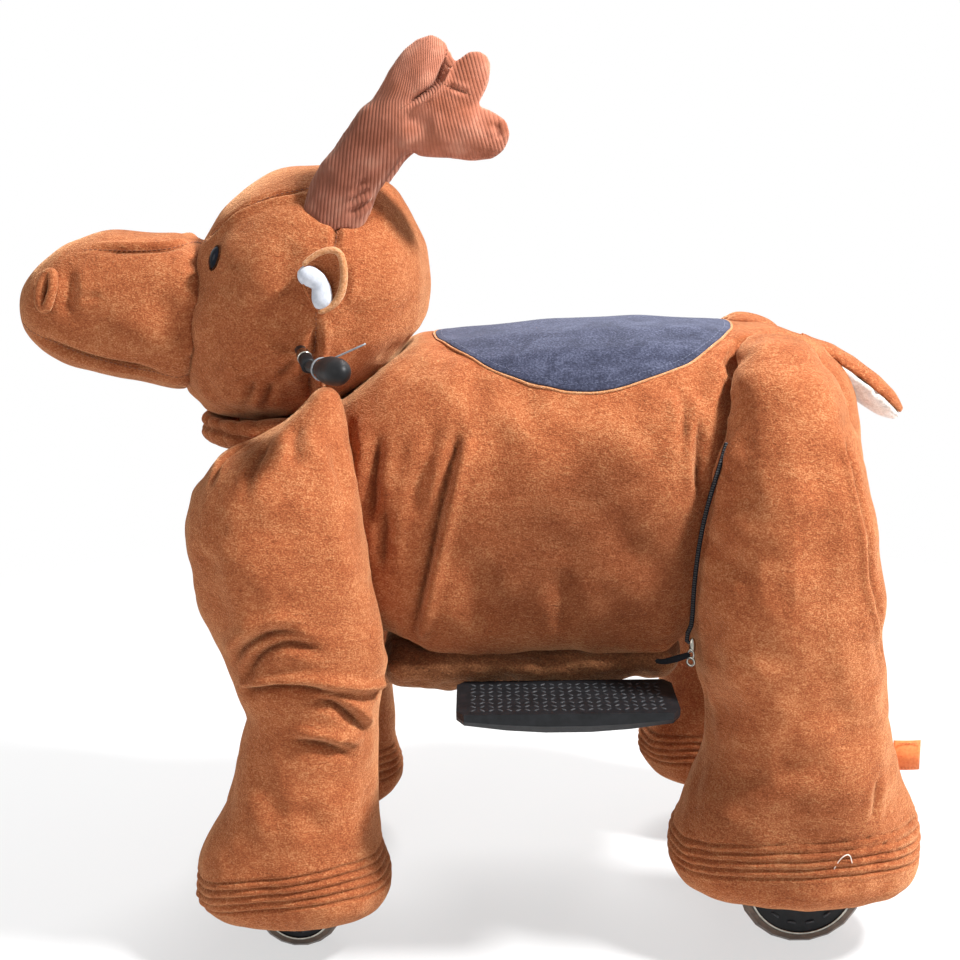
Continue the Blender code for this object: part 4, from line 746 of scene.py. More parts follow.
def free_again(obj, free, fine_below=None):
    """The free share carried through a subdivision. Faces below a height are split once more."""
    layer = obj.data.attributes.new("free", "FLOAT", "POINT")
    layer.data.foreach_set("value", free.astype(np.float32))
    with_modifier(obj, "SUBSURF", levels=1, render_levels=1)
    if fine_below:
        bm = bmesh.new()
        bm.from_mesh(obj.data)
        low_edges = [e for e in bm.edges if min(v.co.z for v in e.verts) < fine_below]
        bmesh.ops.subdivide_edges(bm, edges=low_edges, cuts=1, smooth=0.6, use_grid_fill=True)
        bm.to_mesh(obj.data)
        bm.free()
    values = np.empty(len(obj.data.vertices), np.float32)
    obj.data.attributes["free"].data.foreach_get("value", values)
    obj.data.attributes.remove(obj.data.attributes["free"])
    return values.astype(float)


print("cloth frames:", CLOTH_FRAMES)

# %% [markdown]
# ## The skins
# The finest grid goes where the photograph shows the finest folds, on the legs and the head. The
# hind legs move against the body, so both are held where they touch, and so is the body under
# the seat. The flap under the belly is a thin strip that carries little stuffing.

# %% Make the skins
HIND_LEGS = ["hind_leg_plush_left", "hind_leg_plush_right"]
FRONT_LEGS = ["front_leg_plush_left", "front_leg_plush_right"]
NEAR_BODY = [*HIND_LEGS, "head_plush", "seat_cover"]
NEAR_FLAP = ["pedal_lever", "footrest_left", "footrest_right"]
LEG_VOXEL = 6.5 * MM
SKINS = {
    "body": skin("body_cover", "body_plush", 9 * MM, 10, 1.5 * MM, NEAR_BODY, 10 * MM),
    "head": skin("head_cover", "head_plush", 7 * MM, 12, 0.0, ["neck_collar", "body_plush", *FRONT_LEGS]),
    "muzzle": skin("muzzle_cover", "muzzle_plush", 7 * MM, 12, -1.0 * MM),
    "collar": skin("collar_cover", "neck_collar", 4 * MM, 4, 0.5 * MM, ["head_plush"], 5 * MM),
    "flap": skin("flap_cover", "belly_flap", 6 * MM, 4, 0.3 * MM, NEAR_FLAP, 8 * MM),
    "tail_top": skin("tail_cover_top", "tail_top", 3 * MM, 4, 0.3 * MM),
    "tail_low": skin("tail_cover_low", "tail_underside", 3 * MM, 4, 0.3 * MM),
}
for side in SIDES:
    front = (f"front_leg_cover_{side}", f"front_leg_plush_{side}", LEG_VOXEL, 10, 0.0)
    SKINS[f"front_leg_{side}"] = skin(*front, ["head_plush", f"footrest_{side}"])
    hind = (f"hind_leg_cover_{side}", f"hind_leg_plush_{side}", LEG_VOXEL, 10, 1.5 * MM)
    SKINS[f"hind_leg_{side}"] = skin(*hind, ["body_plush", "belly_flap"], 9 * MM)
    SKINS[f"antler_{side}"] = skin(f"antler_cover_{side}", f"antler_{side}", 3.5 * MM, 6, 0.8 * MM)
print("skins:", {key: len(obj.data.vertices) for key, (obj, free) in SKINS.items()})

PUFFED = {
    # how far each skin may swell, in millimetres
    "body": 6, "head": 4, "muzzle": 3,
    "front_leg_left": 4, "front_leg_right": 4, "hind_leg_left": 6, "hind_leg_right": 6,
}
puff([SKINS[key] for key in PUFFED], [limit * MM for limit in PUFFED.values()])
HOOF_HEIGHT = 0.150
for key, (obj, free) in list(SKINS.items()):
    SKINS[key] = (obj, free_again(obj, free, HOOF_HEIGHT if "leg" in key else None))

# %% [markdown]
# ## Folds, creases and seams
# A fold is a line on the skin where the cloth sinks in, with a bank beside it where it piles up.
# A pinched crease has a sharp bottom and round shoulders, a slack fold is soft all over, and a bank is
# higher on the side where the cloth leans over. Each line is traced where the photograph shows it: the rays
# through its pixels meet the skin, and the far side gets the mirrored line, because both sides were cut
# from one pattern. Pinched folds and patches of shadow are also painted into the attribute fold as painted
# shade, for the plush to darken.

# %% Fold functions


def traced(tree, pixels):
    """Points on a skin under pixels of the frame."""
    found = []
    for u, v in pixels:
        place = tree.ray_cast(EYE_POINT, sight(u, v))[0]
        if place is not None:
            found.append(np.array(place))
    return found


def traced_lines(tree, folds):
    """Named folds, with their pixels traced on a skin."""
    return [(traced(tree, pixels), *rest) for pixels, *rest in folds.values()]


def finer(line, step=6 * MM):
    """The same line with points at even short steps, rounded at its corners."""
    line = np.array(line)
    for _ in range(2):
        if len(line) > 2:
            early, late = line[:-1] * 0.75 + line[1:] * 0.25, line[:-1] * 0.25 + line[1:] * 0.75
            middle = np.empty((2 * len(early), 3))
            middle[0::2], middle[1::2] = early, late
            line = np.vstack([line[:1], middle, line[-1:]])
    length = np.concatenate([[0], np.cumsum(np.linalg.norm(np.diff(line, axis=0), axis=1))])
    places = np.linspace(0, length[-1], max(3, int(length[-1] / step) + 1))
    return np.stack([np.interp(places, length, line[:, k]) for k in range(3)], 1)


def away_from(points, normals, line):
    """Each point's distance from a line, below 0 on its left, and where along it that is, 0 to 1."""
    best, where = np.full(len(points), 1e9), np.zeros(len(points))
    low, high = line.min(0) - 0.07, line.max(0) + 0.07
    near = np.nonzero(((points > low) & (points < high)).all(1))[0]
    some, facing = points[near], normals[near]
    for n, (start, end) in enumerate(zip(line, line[1:])):
        run = end - start
        t = np.clip(((some - start) @ run) / max(run @ run, 1e-12), 0, 1)
        off = some - start - t[:, None] * run
        gap = np.linalg.norm(off, axis=1)
        closer = gap < np.abs(best[near])
        left = np.einsum("ij,ij->i", np.cross(facing, run), off) > 0
        best[near[closer]] = np.where(left, -gap, gap)[closer]
        where[near[closer]] = (n + t[closer]) / (len(line) - 1)
    return best, where


SHADE_PATCH_WAVE = np.array([38.0, 21.0, -29.0])
OPEN_ENDS, SHUT_ENDS = 0.06, 0.3  # the share of a fold's length over which it fades


class Folding:
    """Collects the folds of one skin, then moves its points and paints painted shade into the fold
    attribute.
    """

    def __init__(self, obj, free):
        self.obj, self.free = obj, free
        self.points, self.normals = points_of(obj), normals_of(obj)
        self.tree = tree_of(obj)
        self.depth = np.zeros(len(self.points))
        self.shade = np.zeros(len(self.points))

    def fold(self, line, width, depth, sharp=False, lean=0.0, bank=0.4, mirror=False, ends=SHUT_ENDS):
        """Sinks a line. lean, from -1 to 1, raises one bank over the other. ends is its taper."""
        if len(line) < 2:
            print(f"{self.obj.name}: a fold misses the skin")
            return
        line = np.array(line) * ((1, -1, 1) if mirror else (1, 1, 1))
        lean = -lean if mirror else lean
        away, where = away_from(self.points, self.normals, finer(line))
        fade = smooth_step(np.minimum(where, 1 - where), -0.02, ends)
        apart = np.abs(away) / width
        valley = np.exp(-apart) * np.exp(-((apart / 2.6) ** 2)) if sharp else np.exp(-(apart**2))
        banks = np.exp(-(((apart - 2.0) / 1.1) ** 2)) * bank * (1 + lean * np.sign(away))
        self.depth -= fade * depth * (valley - banks)
        # Painted shade along the bottom of a pinched crease.
        dark = min(1.0, depth / (8 * MM)) if sharp and depth > 0 else 0.0
        self.shade = np.maximum(self.shade, fade * dark * np.exp(-((apart / 0.55) ** 2)))

    def draw(self, lines, mirrors=(False, True)):
        """Folds along traced lines, as they are or mirrored. Widths and depths are in millimetres."""
        for line, width, depth, *kind in lines:
            ends = OPEN_ENDS if "open" in kind else SHUT_ENDS
            for mirror in mirrors:
                size = (width * MM, depth * MM, "sharp" in kind, lean_of(kind))
                self.fold(line, *size, mirror=mirror, ends=ends)

    def lumps(self, size, height, seed):
        """Soft unevenness of the stuffing: a few waves in fixed directions."""
        ways = np.random.default_rng(seed)
        total = np.zeros(len(self.points))
        for _ in range(14):
            way = ways.normal(size=3)
            way *= 2 * math.pi / size / np.linalg.norm(way) * ways.uniform(0.6, 1.5)
            total += np.sin(self.points @ way + ways.uniform(0, 2 * math.pi))
        self.depth += height * total / 3.7

    def nap_and_shade(self, place, size, amount):
        """Painted shade: a soft darker patch round a place, on both sides."""
        near = ((self.points - np.array(place)) / np.array(size)) ** 2
        far = ((self.points * (1, -1, 1) - np.array(place)) / np.array(size)) ** 2
        level = np.minimum(near.sum(1), far.sum(1)) + 0.12 * np.sin(self.points @ SHADE_PATCH_WAVE)
        self.shade = np.maximum(self.shade, amount * smooth_step(1.4 - level, 0.0, 1.4))

    def apply(self):
        move = self.depth * self.free
        place_points(self.obj, self.points + self.normals * move[:, None])
        layer = self.obj.data.attributes.new("fold", "FLOAT", "POINT")
        shade = self.shade * np.clip(self.free + 0.3, 0, 1)
        layer.data.foreach_set("value", shade.astype(np.float32))


def lean_of(kind):
    """Which bank of a fold stands higher: left or right of its line, as it is drawn."""
    return -0.9 if "left" in kind else 0.9 if "right" in kind else 0.0


def dress_up(obj, body, material, replaced):
    """Finish, smooth shading, body, and hides the CAD nodes that the piece stands for."""
    obj.data.materials.clear()
    obj.data.materials.append(material)
    obj.data.polygons.foreach_set("use_smooth", [True] * len(obj.data.polygons))
    obj.data.polygons.foreach_set("material_index", [0] * len(obj.data.polygons))
    obj.data.update()
    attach(obj, body)
    if replaced:
        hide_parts(*replaced)
    return obj


print("folding ready")

# %% [markdown]
# ## Body
# The body's cloth hangs in long folds behind the front leg, where it is pulled down to the
# belly, and its hem rolls under along the belly. More folds run from the hip, where the hind
# leg's seam pulls. Each fold has a name, its line in pixels, and its width and depth.

# %% Body folds
BODY_FOLDS = {
    "long fold behind the leg": (
        ((459, 434), (449, 470), (438, 515), (426, 570), (417, 610), (412, 636)),
        6, 11, "sharp", "left", "open",
    ),
    "fold by the leg": (((380, 428), (374, 470), (371, 530)), 8, 8, "sharp"),
    "short fold between": (((438, 418), (428, 455), (418, 490), (412, 520)), 9, 5),
    "fold into the leg": (((386, 500), (384, 545), (382, 575)), 8, 6, "sharp"),
    "shoulder dip": (((350, 412), (345, 440), (356, 470)), 10, 5),
    "slack under the seat": (((500, 400), (492, 450), (494, 500)), 18, 3),
    "slack in the middle": (((560, 420), (572, 470), (568, 520)), 24, 3),
    "hip fold": (((681, 390), (687, 420), (684, 447)), 6, 7, "sharp"),
    "second hip fold": (((698, 412), (700, 445), (697, 475), (700, 500)), 6, 8, "sharp", "right"),
    "pull towards the hip": (((640, 420), (655, 450), (662, 480)), 14, 4),
    "sag by the hip": (((600, 520), (640, 560), (680, 575)), 20, 3),
    "low sag": (((470, 560), (480, 600), (484, 635)), 18, 3),
    "pinch over the lever": (((556, 560), (566, 610), (572, 645)), 12, 4),
}
# Painted shade on the body's side, between the legs and low down, where it lies in shadow.
BODY_SHADE_PATCHES = (
    # place, half widths and amount of each patch of painted shade
    ((0.126, -0.20, 0.46), (0.17, 0.14, 0.14), 0.6),
    ((-0.02, -0.20, 0.36), (0.10, 0.14, 0.06), 0.35),
)
HEM_DROP, HEM_TOP, HEM_SPAN = 21 * MM, 0.46, (-0.09, 0.235)
body, free = SKINS["body"]
points = points_of(body)
hem = smooth_step(HEM_TOP - points[:, 2], 0.0, 0.09) * smooth_step(np.abs(points[:, 1]), 0.112, 0.145)
between = smooth_step(points[:, 0], HEM_SPAN[0] - 0.03, HEM_SPAN[0] + 0.02)
between *= 1 - smooth_step(points[:, 0], HEM_SPAN[1] - 0.02, HEM_SPAN[1] + 0.03)
points[:, 2] -= HEM_DROP * hem * between * np.maximum(free, 0.6)
place_points(body, points)
folds = Folding(body, free)
folds.draw(traced_lines(folds.tree, BODY_FOLDS))
folds.lumps(0.13, 1.6 * MM, 3)
folds.lumps(0.05, 0.7 * MM, 4)
for patch in BODY_SHADE_PATCHES:
    folds.nap_and_shade(*patch)
folds.apply()
dress_up(body, "chassis", plush_brown, ["body_plush"])
print("body folds:", len(BODY_FOLDS))

# %% [markdown]
# ## Legs
# Each front leg is a bag of stuffing that is squeezed at the elbow: the cloth gathers there in
# slanting creases. The hoof has five narrow pleats stitched round it. A pleat is a slanting
# plane cut through the hoof, so it closes on itself round the back. The hind legs are fuller,
# with a long seam down their back edge and soft ankle folds.

# %% Leg folds
FRONT_FOLDS = {
    "elbow, top": (((232, 668), (240, 652), (258, 638), (283, 631), (309, 635)), 7, 9, "sharp", "left"),
    "elbow, second": (((243, 684), (254, 663), (270, 649), (293, 642), (333, 655)), 7, 8, "sharp"),
    "elbow, deep": (
        ((244, 693), (262, 690), (290, 689), (320, 691), (350, 696), (382, 694)),
        6, 11, "sharp", "left", "open",
    ),
    "elbow, back": (
        ((303, 703), (326, 702), (342, 709), (357, 722), (374, 735)),
        6, 10, "sharp", "left",
    ),
    "elbow, low": (((286, 739), (315, 743), (337, 749), (359, 760), (376, 770)), 6, 9, "sharp", "left"),
    "behind the elbow": (((340, 740), (360, 750), (376, 762)), 5, 5, "sharp"),
    "ankle valley": (((250, 750), (262, 784), (276, 811), (294, 833)), 15, 3.5),
    "ankle crease": (((292, 800), (308, 820), (326, 838)), 12, 2.5),
    "top gather, front": (((206, 492), (216, 470), (232, 452), (256, 438)), 5, 6, "sharp"),
    "top gather, middle": (((244, 504), (252, 478), (262, 455), (270, 436)), 5, 5, "sharp"),
    "top gather, back": (((296, 470), (292, 440), (296, 420)), 9, 5),
    "slack below the peak": (((334, 430), (338, 470), (350, 505)), 10, 4),
    "front slack": (((204, 540), (212, 590), (226, 640)), 18, 4),
    "wide dip": (((300, 520), (310, 560), (322, 600)), 24, 3),
}
FRONT_PLEATS = (
    ((206, 884), (384, 861)),
    ((207, 891), (385, 869)),
    ((210, 898), (386, 877)),
    ((214, 905), (386, 885)),
    ((220, 912), (384, 893)),
)
HIND_FOLDS = {
    "back seam": (
        ((846, 440), (860, 520), (872, 600), (882, 660), (890, 716)),
        4, 5, "sharp", "right", "open",
    ),
    "ankle valley": (((772, 752), (800, 768), (840, 776)), 20, 4, "left"),
    "ankle crease": (((878, 776), (876, 800), (872, 824)), 5, 4, "sharp"),
    "front ankle dip": (((748, 760), (738, 790), (732, 820)), 20, 3),
    "front ridge": (((698, 668), (706, 700), (704, 735)), 9, 4, "left"),
    "slack at the back": (((816, 430), (824, 520), (832, 600)), 22, 3.5),
    "slack at the front": (((762, 420), (747, 470), (740, 530)), 22, 3),
    "knee sag": (((735, 636), (772, 660), (806, 664)), 20, 3),
    "seam from the back": (((742, 330), (736, 360), (728, 392)), 7, 4),
    "fuller back edge": (((858, 470), (872, 560), (882, 640), (892, 700)), 34, -5),
}
HIND_PLEATS = (
    ((673, 850), (915, 833)),
    ((676, 857), (915, 842)),
    ((680, 864), (914, 851)),
    ((684, 871), (913, 859)),
    ((688, 878), (911, 868)),
)
# Painted shade low on the hind leg, above the hoof.
HIND_SHADE_PATCHES = (((0.335, -0.20, 0.175), (0.12, 0.12, 0.09), 0.5),)
PLEAT_WIDTH, PLEAT_DEPTH, PLEAT_SAG, PLEAT_INSIDE = 2.3 * MM, 2.6 * MM, 11 * MM, 14 * MM
HOOF_FLAT_BELOW, HOOF_FLATTER = 0.100, 0.22
CHEST_BACK, CHEST_LOW, CHEST_HIGH, CHEST_FRONT = 8 * MM, (0.39, 0.46), (0.56, 0.61), (0.22, 0.30)


def pleat(folds, ends, y, middle):
    """A stitched pleat all round a hoof, through two pixels, sagging a little fore and aft."""
    line = [on_plane(u, v, y) for u, v in ends]
    slope = (line[1].z - line[0].z) / (line[1].x - line[0].x)
    half = abs(line[1].x - line[0].x) / 2
    sag = PLEAT_SAG * np.clip(np.abs(folds.points[:, 0] - middle) / half, 0, 1) ** 3
    height = line[0].z + slope * (folds.points[:, 0] - line[0].x) - sag
    away = (folds.points[:, 2] - height) / PLEAT_WIDTH
    level = np.clip(1.2 - np.abs(folds.normals[:, 2]) ** 2 * 1.6, 0, 1)
    valley = np.exp(-np.abs(away) * 1.4)
    folds.depth -= level * PLEAT_DEPTH * (valley - 0.3 * np.exp(-((np.abs(away) - 1.7) ** 2)))
    # Painted shade in the groove of the pleat.
    folds.shade = np.maximum(folds.shade, 0.5 * level * np.exp(-((away / 0.5) ** 2)))


LEG_SETS = (
    ("front", FRONT_FOLDS, FRONT_PLEATS, (), "chassis"),
    ("hind", HIND_FOLDS, HIND_PLEATS, HIND_SHADE_PATCHES, "hind_frame"),
)
for which, lines, pleats, shade_patches, carrier in LEG_SETS:
    near_leg = SKINS[f"{which}_leg_left"][0]
    near_side = float(points_of(near_leg)[:, 1].min()) + PLEAT_INSIDE
    near_lines = traced_lines(tree_of(near_leg), lines)
    for side, way in SIDES.items():
        leg, free = SKINS[f"{which}_leg_{side}"]
        points = points_of(leg)
        if which == "front":
            level = smooth_step(points[:, 2], *CHEST_LOW) * (1 - smooth_step(points[:, 2], *CHEST_HIGH))
            points[:, 0] += CHEST_BACK * level * smooth_step(-points[:, 0], *CHEST_FRONT)
        else:
            points[:, 2] += HOOF_FLATTER * np.clip(HOOF_FLAT_BELOW - points[:, 2], 0, None)
        place_points(leg, points)
        folds = Folding(leg, free)
        folds.draw(near_lines, [way > 0])
        low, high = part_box(f"{which}_leg_plush_{side}")
        for ends in pleats:
            pleat(folds, ends, near_side, (low.x + high.x) / 2)
        folds.lumps(0.10, 2.0 * MM, 5 + way)
        folds.lumps(0.045, 0.6 * MM, 7 + way)
        for patch in shade_patches:
            folds.nap_and_shade(*patch)
        folds.apply()
        dress_up(leg, carrier, plush_brown, [f"{which}_leg_plush_{side}"])
print("legs dressed")

# %% [markdown]
# ## Head and muzzle
# The head is two cheeks and a middle strip, joined by deep seams over the brow, and the muzzle is
# sewn on with a seam round its root. The cheek is gathered where the handlebar comes out.

# %% Head folds
HEAD_FOLDS = {
    "brow seam": (
        ((206, 241), (218, 228), (232, 216), (256, 202), (283, 193), (312, 188)),
        4.5, 8, "sharp", "right",
    ),
    "seam above the ear": (((336, 222), (337, 236), (334, 250)), 4, 6, "sharp"),
    "seam below the ear": (
        ((316, 314), (316, 335), (313, 360), (309, 385), (312, 402)),
        5, 9, "sharp", "left",
    ),
    "pucker, front": (((297, 354), (285, 344), (268, 338)), 6, 4),
    "pucker, low": (((296, 356), (288, 368), (276, 379)), 6, 5, "sharp"),
    "pucker, back": (((299, 354), (305, 368), (303, 386)), 6, 5, "sharp"),
    "cheek, low": (((226, 398), (240, 383), (254, 372)), 10, 4),
    "chin gather": (((244, 410), (250, 394), (255, 378)), 6, 5, "sharp"),
    "second chin gather": (((262, 411), (268, 395), (273, 380)), 6, 5, "sharp"),
    "corner of the eye": (((228, 262), (236, 266), (240, 272)), 3, 2, "sharp"),
    "dip before the ear": (((296, 240), (286, 270), (284, 300)), 14, 4),
    "dip at the nape": (((360, 300), (352, 330), (340, 352)), 14, 4),
    "seat of the antler": (
        ((303, 196), (310, 208), (324, 219), (344, 226), (364, 224), (378, 214)),
        4.5, 6, "sharp", "left",
    ),
    "edge below the ear": (((346, 262), (347, 285), (338, 306)), 5, 4, "sharp"),
}
MUZZLE_FOLDS = {
    "bridge seam": (((86, 250), (110, 250), (143, 251), (177, 248), (200, 243)), 4, 7, "sharp", "left"),
    "jaw seam": (
        ((24, 324), (53, 341), (83, 355), (120, 365), (153, 372), (186, 375)),
        4.5, 7, "sharp", "right",
    ),
    "behind the nostril": (((66, 266), (71, 290), (64, 318)), 8, 5),
    "crease": (((78, 300), (90, 296), (104, 298)), 4, 2),
    "cheek dip": (((150, 290), (170, 320), (182, 350)), 20, 4),
}
for key, lines, seed in (("head", HEAD_FOLDS, 11), ("muzzle", MUZZLE_FOLDS, 12)):
    cover, free = SKINS[key]
    folds = Folding(cover, free)
    folds.draw(traced_lines(folds.tree, lines))
    folds.lumps(0.09, 1.5 * MM, seed)
    folds.apply()
    dress_up(cover, "steering", plush_brown, [f"{key}_plush"])
print("head folds:", len(HEAD_FOLDS) + len(MUZZLE_FOLDS))

# %% [markdown]
# ## Collar, flap and tail
# The neck is gathered by a drawn cord, so the collar is two rolls, one over the other, with many
# short pleats across them and a groove between. The flap under the belly is a loose strip whose
# lower edge ripples. The tail is two layers, brown above and ivory below.

# %% Collar, flap and tail
COLLAR_PLEATS, COLLAR_DEPTH, COLLAR_GROOVE = 9, 2.5 * MM, 6 * MM
collar, free = SKINS["collar"]
folds = Folding(collar, free)
low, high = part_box("neck_collar")
middle = (np.array(low) + np.array(high)) / 2
angle = np.arctan2(folds.points[:, 1], folds.points[:, 0] - middle[0])
wander = 0.5 * np.sin(3 * angle + 1) + 0.35 * np.sin(7 * angle)
gather = np.abs(np.sin(COLLAR_PLEATS * (angle + 0.16 * wander) + 55 * (folds.points[:, 2] - middle[2])))
folds.depth += (gather**0.6 - 0.75) * COLLAR_DEPTH
between_rolls = folds.points[:, 2] - middle[2]
between_rolls = between_rolls - 3 * MM * np.sin(2 * angle + 0.6) - 2 * MM * np.sin(5 * angle)
groove = np.exp(-((between_rolls / (4.5 * MM)) ** 2))
folds.depth -= COLLAR_GROOVE * groove
# Painted shade in the pleats and in the groove between the rolls.
folds.shade = np.maximum(0.25 * (1 - gather) ** 3, 0.4 * groove)
folds.apply()
dress_up(collar, "chassis", plush_brown, ["neck_collar"])

FLAP_WIDER, FLAP_LONGER, FLAP_LOWER = 0.10, 0.05, 7 * MM
flap, free = SKINS["flap"]
low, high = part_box("belly_flap")
points = points_of(flap)
upper = smooth_step(points[:, 2], low.z + 8 * MM, high.z - 12 * MM)
points[:, 1] *= 1 + FLAP_WIDER * upper
points[:, 0] += FLAP_LONGER * (points[:, 0] - (low.x + high.x) / 2 + 20 * MM)
points[:, 2] -= FLAP_LOWER * (1 - upper)
place_points(flap, points)
folds = Folding(flap, free)
folds.lumps(0.06, 2.0 * MM, 21)
folds.lumps(0.025, 0.8 * MM, 22)
folds.apply()
dress_up(flap, "chassis", plush_shaded, ["belly_flap"])

TAIL = (("tail_top", plush_brown, "tail_top"), ("tail_low", plush_white, "tail_underside"))
for key, material, node in TAIL:
    tail, free = SKINS[key]
    folds = Folding(tail, free)
    folds.lumps(0.04, 0.6 * MM, 23)
    folds.apply()
    dress_up(tail, "chassis", material, [node])
print("collar, flap and tail dressed")

# %% [markdown]
# ## Antlers
# The corduroy's ribs run upright on the stem, lean over on the front prong and cross the back
# prong. A rib number grows by one from rib to rib, and the material draws the ribs from it.
# The prongs are sewn separately, so a crease parts them, and the stem's back edge is gathered.

# %% Antlers
RIB_PITCH = 3.8 * MM
ANTLER_FOLDS = {
    "seam of the front prong": (
        ((446, 50), (446, 62), (442, 75), (437, 83), (428, 91), (416, 99), (402, 108)),
        3.5, 9, "sharp", "left",
    ),
    "seam of the middle prong": (((445, 84), (457, 90), (470, 94), (482, 98)), 2.6, 3, "sharp"),
    "gather, top": (((350, 196), (360, 186), (368, 178)), 3.4, 2.5),
    "gather, second": (((346, 208), (359, 197), (371, 188)), 3.4, 3),
    "gather, third": (((347, 217), (361, 207), (374, 199)), 3.4, 3),
    "tip of the back prong": (((494, 122), (500, 130), (498, 140)), 4, 4, "sharp"),
    "dip of the palm": (((404, 118), (420, 124), (436, 128)), 14, 4),
}
ROOT_SHIFT, ROOT_SPAN = 9 * MM, (0.84, 0.95)
# Painted shade on the antler's stem, which stays darker than the palm.
STEM_SHADE_PATCH = ((-0.13, -0.10, 0.86), (0.09, 0.12, 0.12), 0.65)
near_antler = SKINS["antler_left"][0]
for side in SIDES:
    antler = SKINS[f"antler_{side}"][0]
    points = points_of(antler)
    points[:, 0] -= ROOT_SHIFT * (1 - smooth_step(points[:, 2], *ROOT_SPAN))
    place_points(antler, points)
antler_lines = traced_lines(tree_of(near_antler), ANTLER_FOLDS)
for side, way in SIDES.items():
    antler, free = SKINS[f"antler_{side}"]
    folds = Folding(antler, free)
    folds.draw(antler_lines, [way > 0])
    folds.lumps(0.035, 0.7 * MM, 31)
    folds.nap_and_shade(*STEM_SHADE_PATCH)
    folds.apply()
    x, z = folds.points[:, 0], folds.points[:, 2]
    stem = 0.98 * x - 0.12 * (z - 0.90)
    palm = 0.95 * x + 0.25 * (z - 0.90)
    to_palm = smooth_step(x, -0.10, 0.0)
    over = np.clip(z - 0.95, 0, None) * (1 - smooth_step(x, -0.08, -0.02))
    rib = (stem * (1 - to_palm) + palm * to_palm - 0.5 * over) / RIB_PITCH
    layer = antler.data.attributes.new("rib", "FLOAT", "POINT")
    layer.data.foreach_set("value", rib.astype(np.float32))
    dress_up(antler, "steering", corduroy, [f"antler_{side}"])
print("antlers dressed")

# %% [markdown]
# ## Room for the joints
# The head turns 25 degrees each way about the steering column, and the hind legs swing 8 degrees
# about the hip. Where a moving skin would enter the body's, the body's skin is pushed back by as
# much as the moving one needs, with a soft edge, as loose stuffing gives way.

# %% Room for the joints
NECK_MIDDLE, HEAD_TURNS = Vector((-0.201, 0.0, 0.5)), (-25, -12, 12, 25)
HIP_MIDDLE, LEG_TURNS = Vector((0.362, 0.0, 0.585)), (0, -4, -8)
CLEAR_BY, CLEAR_REACH = 1.6 * MM, 25 * MM


def turned_tree(obj, middle, axis, degrees):
    """The surface of a piece after it turned about an axis through a point."""
    turn = Matrix.Translation(middle) @ Matrix.Rotation(math.radians(degrees), 4, axis)
    turn = turn @ Matrix.Translation(-middle)
    points = [turn @ Vector(p) for p in points_of(obj)]
    return BVHTree.FromPolygons(points, [tuple(face.vertices) for face in obj.data.polygons])


def pushed_out(point, tree):
    """The nearest place that is clear of a surface, or nothing where the point is clear."""
    place, normal, face, away = tree.find_nearest(Vector(point), CLEAR_REACH)
    if place is None or (Vector(point) - place).dot(normal) >= CLEAR_BY:
        return None
    return place + normal * CLEAR_BY


def give_way(still, moving, middle, axis, turns):
    """Pushes the still skin out of the space that the moving one passes through."""
    start, edges = points_of(still), edges_of(still)
    points = start.copy()
    reach = np.linalg.norm(points_of(moving) - np.array(middle), axis=1).max()
    near = np.nonzero(np.linalg.norm(points - np.array(middle), axis=1) < reach + CLEAR_BY)[0]
    trees = [turned_tree(moving, middle, axis, degrees) for degrees in turns]
    hit = [n for n in near if any(pushed_out(points[n], tree) for tree in trees)]
    for soften in (6, 4, 3, 2, 0):
        for tree in trees:
            for n in hit:
                better = pushed_out(points[n], tree)
                if better:
                    points[n] = better
        points = start + relax(points - start, edges, soften)
    place_points(still, points)
    deepest = np.linalg.norm(points - start, axis=1).max() * 1000
    print(f"{still.name} gives way to {moving.name}: {len(hit)} points, up to {deepest:.1f} mm")


give_way(SKINS["body"][0], SKINS["head"][0], NECK_MIDDLE, "Z", HEAD_TURNS)
for side in SIDES:
    give_way(SKINS["body"][0], SKINS[f"hind_leg_{side}"][0], HIP_MIDDLE, "Y", LEG_TURNS)

# %% [markdown]
# ## A row that follows a line
# Stitches, zip teeth and the dashes on a wheel are all one small shape, repeated along a line.
# Geometry Nodes do that best: the line is resampled at a spacing, the shape is put on each point
# and turned to the line's run. Each tree has named inputs, ends in Realize Instances, and its
# result becomes a plain mesh. A stitch is a flattened bead of 6 sides, a tooth or dash a block.

# %% Rows along a line


def socket_id(tree, name):
    return next(i.identifier for i in tree.interface.items_tree if i.name == name and i.in_out == "INPUT")


def new_tree(name, sizes):
    """A node tree with a geometry input, named sizes, a finish and a result."""
    tree = bpy.data.node_groups.new(name, "GeometryNodeTree")
    tree.interface.new_socket("Geometry", in_out="INPUT", socket_type="NodeSocketGeometry")
    for size in sizes:
        kind = "NodeSocketVector" if size == "Outward" else "NodeSocketFloat"
        tree.interface.new_socket(size, in_out="INPUT", socket_type=kind)
    tree.interface.new_socket("Finish", in_out="INPUT", socket_type="NodeSocketMaterial")
    tree.interface.new_socket("Result", in_out="OUTPUT", socket_type="NodeSocketGeometry")
    return tree, tree.nodes.new("NodeGroupInput")


